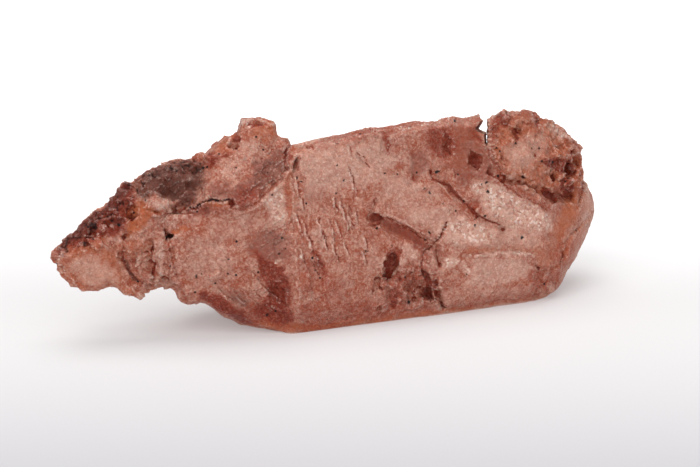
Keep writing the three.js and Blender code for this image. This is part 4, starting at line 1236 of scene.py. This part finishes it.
def quartzMaterial():
    material = bpy.data.materials.new("frosted_rose_quartz")
    w = Weave(material)
    look = quartzLook
    place = w.add("ShaderNodeTexCoord").outputs["Object"]
    inMm = w.add("ShaderNodeMapping", {"Vector": place, "Scale": (1000, 1000, 1000)}).outputs["Vector"]
    lean = (0, math.radians(roughness["streakLean"]), 0)
    slant = {"Vector": inMm, "Rotation": lean, "Scale": (2.4, 1.4, 0.35)}
    slanted = w.add("ShaderNodeMapping", slant).outputs["Vector"]
    cloud = w.noise(inMm, 0.45, 4.0, 0.6, 0.4)
    mottle = w.noise(inMm, 1.8, 5.0, 0.7, 0.6)
    speck = w.noise(inMm, 5.0, 3.0, 0.6)
    grit = w.noise(inMm, 9.0, 2.0, 0.6)
    streak = w.noise(slanted, 1.3, 4.0, 0.65)
    squiggle = w.noise(inMm, 1.1, 4.0, 0.6, 1.6)
    rough = w.share("rough")

    def coat(colour, name, most, texture, low, high, only=None):
        # a coat of a named colour, from where a texture sets in to where it is full
        amount = w.window(texture, low, high)
        if only is not None:
            amount = w.maths("MULTIPLY", amount, only)
        return w.blend(w.maths("MULTIPLY", amount, most), colour, linear(look[name]))

    # base rose, mottled at three sizes and drawn with streaks and slashes
    colour = w.blend(w.window(cloud, 0.35, 0.65), linear(look["roseDeep"]), linear(look["rose"]))
    colour = coat(colour, "pale", 0.5, mottle, 0.51, 0.61)
    colour = coat(colour, "rust", 0.6, mottle, 0.46, 0.36)
    colour = coat(colour, "pale", 0.4, speck, 0.53, 0.61)
    colour = coat(colour, "rust", 0.5, speck, 0.46, 0.38)
    drawn = w.share("drawn")
    colour = coat(colour, "pale", 0.5, streak, 0.52, 0.66, drawn)
    colour = coat(colour, "rust", 0.5, streak, 0.46, 0.32, drawn)
    slash = w.share("slash")
    colour = coat(colour, "pale", 0.6, slash, 0.56, 0.85)
    colour = coat(colour, "rust", 0.7, slash, 0.48, 0.3)

    # low facets of the plain faces, with paler and redder ones, and red between some of them
    tone = w.share("tone")
    colour = coat(colour, "pale", 0.45, tone, 0.55, 0.95)
    colour = coat(colour, "rust", 0.4, tone, 0.45, 0.05)
    colour = w.blend(w.maths("MULTIPLY", w.share("flake"), 0.45), colour, linear(look["rust"]))

    # each small facet a little lighter or darker than the next
    shade = w.grains(inMm, 0.9, channel=1)[1]
    spark = w.grains(inMm, 3.2)[1]
    colour = coat(colour, "pale", 0.3, shade, 0.6, 1.0)
    colour = coat(colour, "rust", 0.3, shade, 0.4, 0.0)
    colour = coat(colour, "pale", 0.3, spark, 0.72, 0.8)
    colour = coat(colour, "rust", 0.35, spark, 0.28, 0.2)

    # thin red squiggles, and seams that part the faces into patches
    nearLine = w.maths("ABSOLUTE", w.maths("SUBTRACT", squiggle, 0.5), 0.0)
    thread = w.maths("MULTIPLY", w.window(nearLine, 0.022, 0.0), w.window(cloud, 0.42, 0.6))
    bend = w.add("ShaderNodeTexNoise", {"Vector": inMm, "Scale": 0.8, "Detail": 3.0}).outputs["Color"]
    warped = w.vectors("ADD", inMm, bend).outputs[0]
    plates = {"Vector": warped, "Scale": 1 / look["seamEvery"], "Randomness": 1.0}
    seams = w.add("ShaderNodeTexVoronoi", plates, feature="DISTANCE_TO_EDGE").outputs["Distance"]
    seam = w.maths("MULTIPLY", w.window(seams, 0.03, 0.0), w.window(mottle, 0.4, 0.6))
    mark = w.maths("MAXIMUM", thread, seam)
    colour = w.blend(w.maths("MULTIPLY", mark, 0.55), colour, linear(look["rust"]))

    # stains, each broken up by the mottling so that it has no clean edge. Specks of red show
    # through the mauve, and paler ones through the rust
    def stain(colour, name, most, depth):
        amount = w.maths("MULTIPLY", broken(name, depth), most)
        return w.blend(amount, colour, linear(look[name]))

    def broken(name, depth):
        spread = w.maths("ADD", w.share(name), w.maths("MULTIPLY", w.maths("SUBTRACT", mottle, 0.5), depth))
        return w.window(spread, 0.12, 0.95)

    colour = stain(colour, "mauve", w.window(speck, 0.4, 0.6, 0.6, 1.15), 0.6)
    colour = stain(colour, "ember", 0.8, 0.9)
    # the pale share carries frosted quartz and painted highlights: glints, lit ridges and raised parts
    colour = stain(colour, "pale", 0.85, 0.9)
    colour = stain(colour, "plum", 0.9, 0.7)
    colour = stain(colour, "rust", w.window(speck, 0.6, 0.4, 0.55, 1.1), 0.9)
    deepest = w.window(broken("rust", 0.9), 0.6, 1.0)
    deepest = w.maths("MULTIPLY", deepest, w.window(mottle, 0.35, 0.65, 1.0, 0.3))
    colour = w.blend(deepest, colour, linear(look["deepRust"]))

    # white flecks, partly frosted quartz and partly painted glints; sugary grains with painted glints where
    # it is palest; and lit edges
    frostAndGlint = w.window(w.maths("ADD", w.share("pale"), w.maths("MULTIPLY", rough, 0.3)), 0.2, 0.9, 0.12, 0.9)
    colour = coat(colour, "white", 0.8, speck, 0.58, 0.7, frostAndGlint)
    sugarAndGlint = w.window(w.share("pale"), 0.55, 0.85)
    colour = coat(colour, "white", 0.7, spark, 0.8, 0.86, sugarAndGlint)
    colour = coat(colour, "rust", 0.4, spark, 0.2, 0.14, sugarAndGlint)
    colour = coat(colour, "white", 0.5, grit, 0.47, 0.58, w.share("edge"))
    colour = coat(colour, "rust", 0.5, grit, 0.42, 0.3)
    colour = stain(colour, "dark", 0.92, 0.6)

    # black pores, those with a place of their own and a thin scatter of small ones
    dots, chance = w.grains(inMm, 0.42)
    small = w.maths("MULTIPLY", w.window(dots.outputs["Distance"], 0.085, 0.05), w.window(chance, 0.62, 0.66))
    pore = w.maths("MAXIMUM", w.window(w.share("pore"), 0.35, 0.8), small)
    colour = w.blend(w.maths("MULTIPLY", pore, 0.95), colour, linear(look["pore"]))

    # relief finer than the mesh, in mm
    def facetField(size):
        # small tilted planes, so that some of them catch the light
        pattern = w.add("ShaderNodeTexVoronoi", {"Vector": inMm, "Scale": 1 / size, "Randomness": 1.0})
        away = w.vectors("SUBTRACT", inMm, pattern.outputs["Position"]).outputs[0]
        lean = w.vectors("SUBTRACT", pattern.outputs["Color"], (0.5, 0.5, 0.5)).outputs[0]
        return w.vectors("DOT_PRODUCT", away, lean).outputs["Value"]

    slope = w.window(rough, 0.0, 0.9, *look["facetSlope"])
    relief = w.maths("MULTIPLY", speck, look["grain"])
    relief = w.maths("ADD", relief, w.maths("MULTIPLY", grit, look["grit"]))
    relief = w.maths("ADD", relief, w.maths("MULTIPLY", facetField(0.55), slope))
    relief = w.maths("ADD", relief, w.maths("MULTIPLY", facetField(0.24), slope))
    lines = w.maths("MULTIPLY", streak, w.window(drawn, 0.0, 1.0, 0.2 * look["streak"], 2 * look["streak"]))
    relief = w.maths("ADD", relief, lines)
    relief = w.maths("SUBTRACT", relief, w.maths("MULTIPLY", mark, look["line"]))
    relief = w.maths("SUBTRACT", relief, w.maths("MULTIPLY", pore, 2 * look["line"]))
    bump = w.add("ShaderNodeBump", {"Height": relief, "Strength": 1.0, "Distance": mm})

    shine = w.window(w.maths("ADD", speck, w.maths("MULTIPLY", cloud, 0.5)), 0.55, 0.95, 0.58, 0.26)
    shader = w.add("ShaderNodeBsdfPrincipled", {
        "Base Color": colour, "Roughness": shine, "Normal": bump.outputs["Normal"], "IOR": 1.54,
        "Specular IOR Level": look["gloss"], "Subsurface Weight": look["glow"],
        "Subsurface Radius": look["glowReach"], "Subsurface Scale": 1.0,
    })
    w.add("ShaderNodeOutputMaterial", {"Surface": shader.outputs[0]})
    return material


crystal.data.materials.clear()
crystal.data.materials.append(quartzMaterial())
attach(crystal, "root")
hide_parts("quartz_crystal")
print("quartz finished")


# Pale floor and soft studio light

studio = {
    "floorNear": -1.5,      # metres, towards the lens
    "floorFar": 1.6,
    "halfWide": 1.8,
    "farColour": (0.94, 0.94, 0.94),
    "middleColour": (0.765, 0.758, 0.76),
    "nearColour": (0.60, 0.595, 0.615),    # painted shade: the floor is coloured greyer towards the lens, where less light reaches it
    "greyFrom": -0.005,     # metres, where the painted shade sets in and is full
    "greyTo": -0.115,
    "paleFrom": 0.0,
    "paleTo": 0.09,
    "glow": 0.5,            # the paper glows by itself, a painted light that lifts its shadows
    "skyLight": 0.42,
}

lights = {
    "key": {"power": 5.4, "size": 0.8, "place": (-0.73, -0.62, 0.84), "aim": (0, 0, 0.01)},
    "fill": {"power": 6.0, "size": 1.4, "place": (-0.25, -1.1, 0.75), "aim": (0, 0, 0.01)},
    "top": {"power": 8.8, "size": 1.0, "place": (0.05, 0.2, 1.2), "aim": (0.05, 0.2, 0)},
}


def makeFloor():
    wide, near, far = studio["halfWide"], studio["floorNear"], studio["floorFar"]
    mesh = bpy.data.meshes.new("floor")
    mesh.from_pydata([(-wide, near, 0), (wide, near, 0), (wide, far, 0), (-wide, far, 0)], [], [(0, 1, 2, 3)])
    floor = bpy.data.objects.new("floor", mesh)
    floor.rotation_euler.z = math.radians(shot["azimuth"])
    scene.collection.objects.link(floor)
    material = bpy.data.materials.new("pale_paper")
    w = Weave(material)
    place = w.add("ShaderNodeSeparateXYZ", {"Vector": w.add("ShaderNodeTexCoord").outputs["Object"]})
    # painted shade: the floor greyer towards the lens
    colour = w.blend(w.window(place.outputs["Y"], studio["greyFrom"], studio["greyTo"]),
                     linear(studio["middleColour"]), linear(studio["nearColour"]))
    colour = w.blend(w.window(place.outputs["Y"], studio["paleFrom"], studio["paleTo"]),
                     colour, linear(studio["farColour"]))
    # the paper glows by itself, painted light
    shader = w.add("ShaderNodeBsdfPrincipled", {
        "Base Color": colour, "Roughness": 0.75, "Specular IOR Level": 0.2,
        "Emission Color": colour, "Emission Strength": studio["glow"],
    })
    w.add("ShaderNodeOutputMaterial", {"Surface": shader.outputs[0]})
    mesh.materials.append(material)


def softLight(name, look):
    data = bpy.data.lights.new(name, "AREA")
    data.energy = look["power"]
    data.size = look["size"]
    light = bpy.data.objects.new(name, data)
    scene.collection.objects.link(light)
    light.location = look["place"]
    light.rotation_euler = (Vector(look["place"]) - Vector(look["aim"])).to_track_quat("Z", "Y").to_euler()


def lightStudio():
    world = bpy.data.worlds.new("studio")
    world.use_nodes = True
    world.node_tree.nodes["Background"].inputs["Color"].default_value = (1, 1, 1, 1)
    world.node_tree.nodes["Background"].inputs["Strength"].default_value = studio["skyLight"]
    scene.world = world
    for name, look in lights.items():
        softLight(name, look)
    scene.view_settings.view_transform = "Standard"


makeFloor()
lightStudio()
print("studio lit")
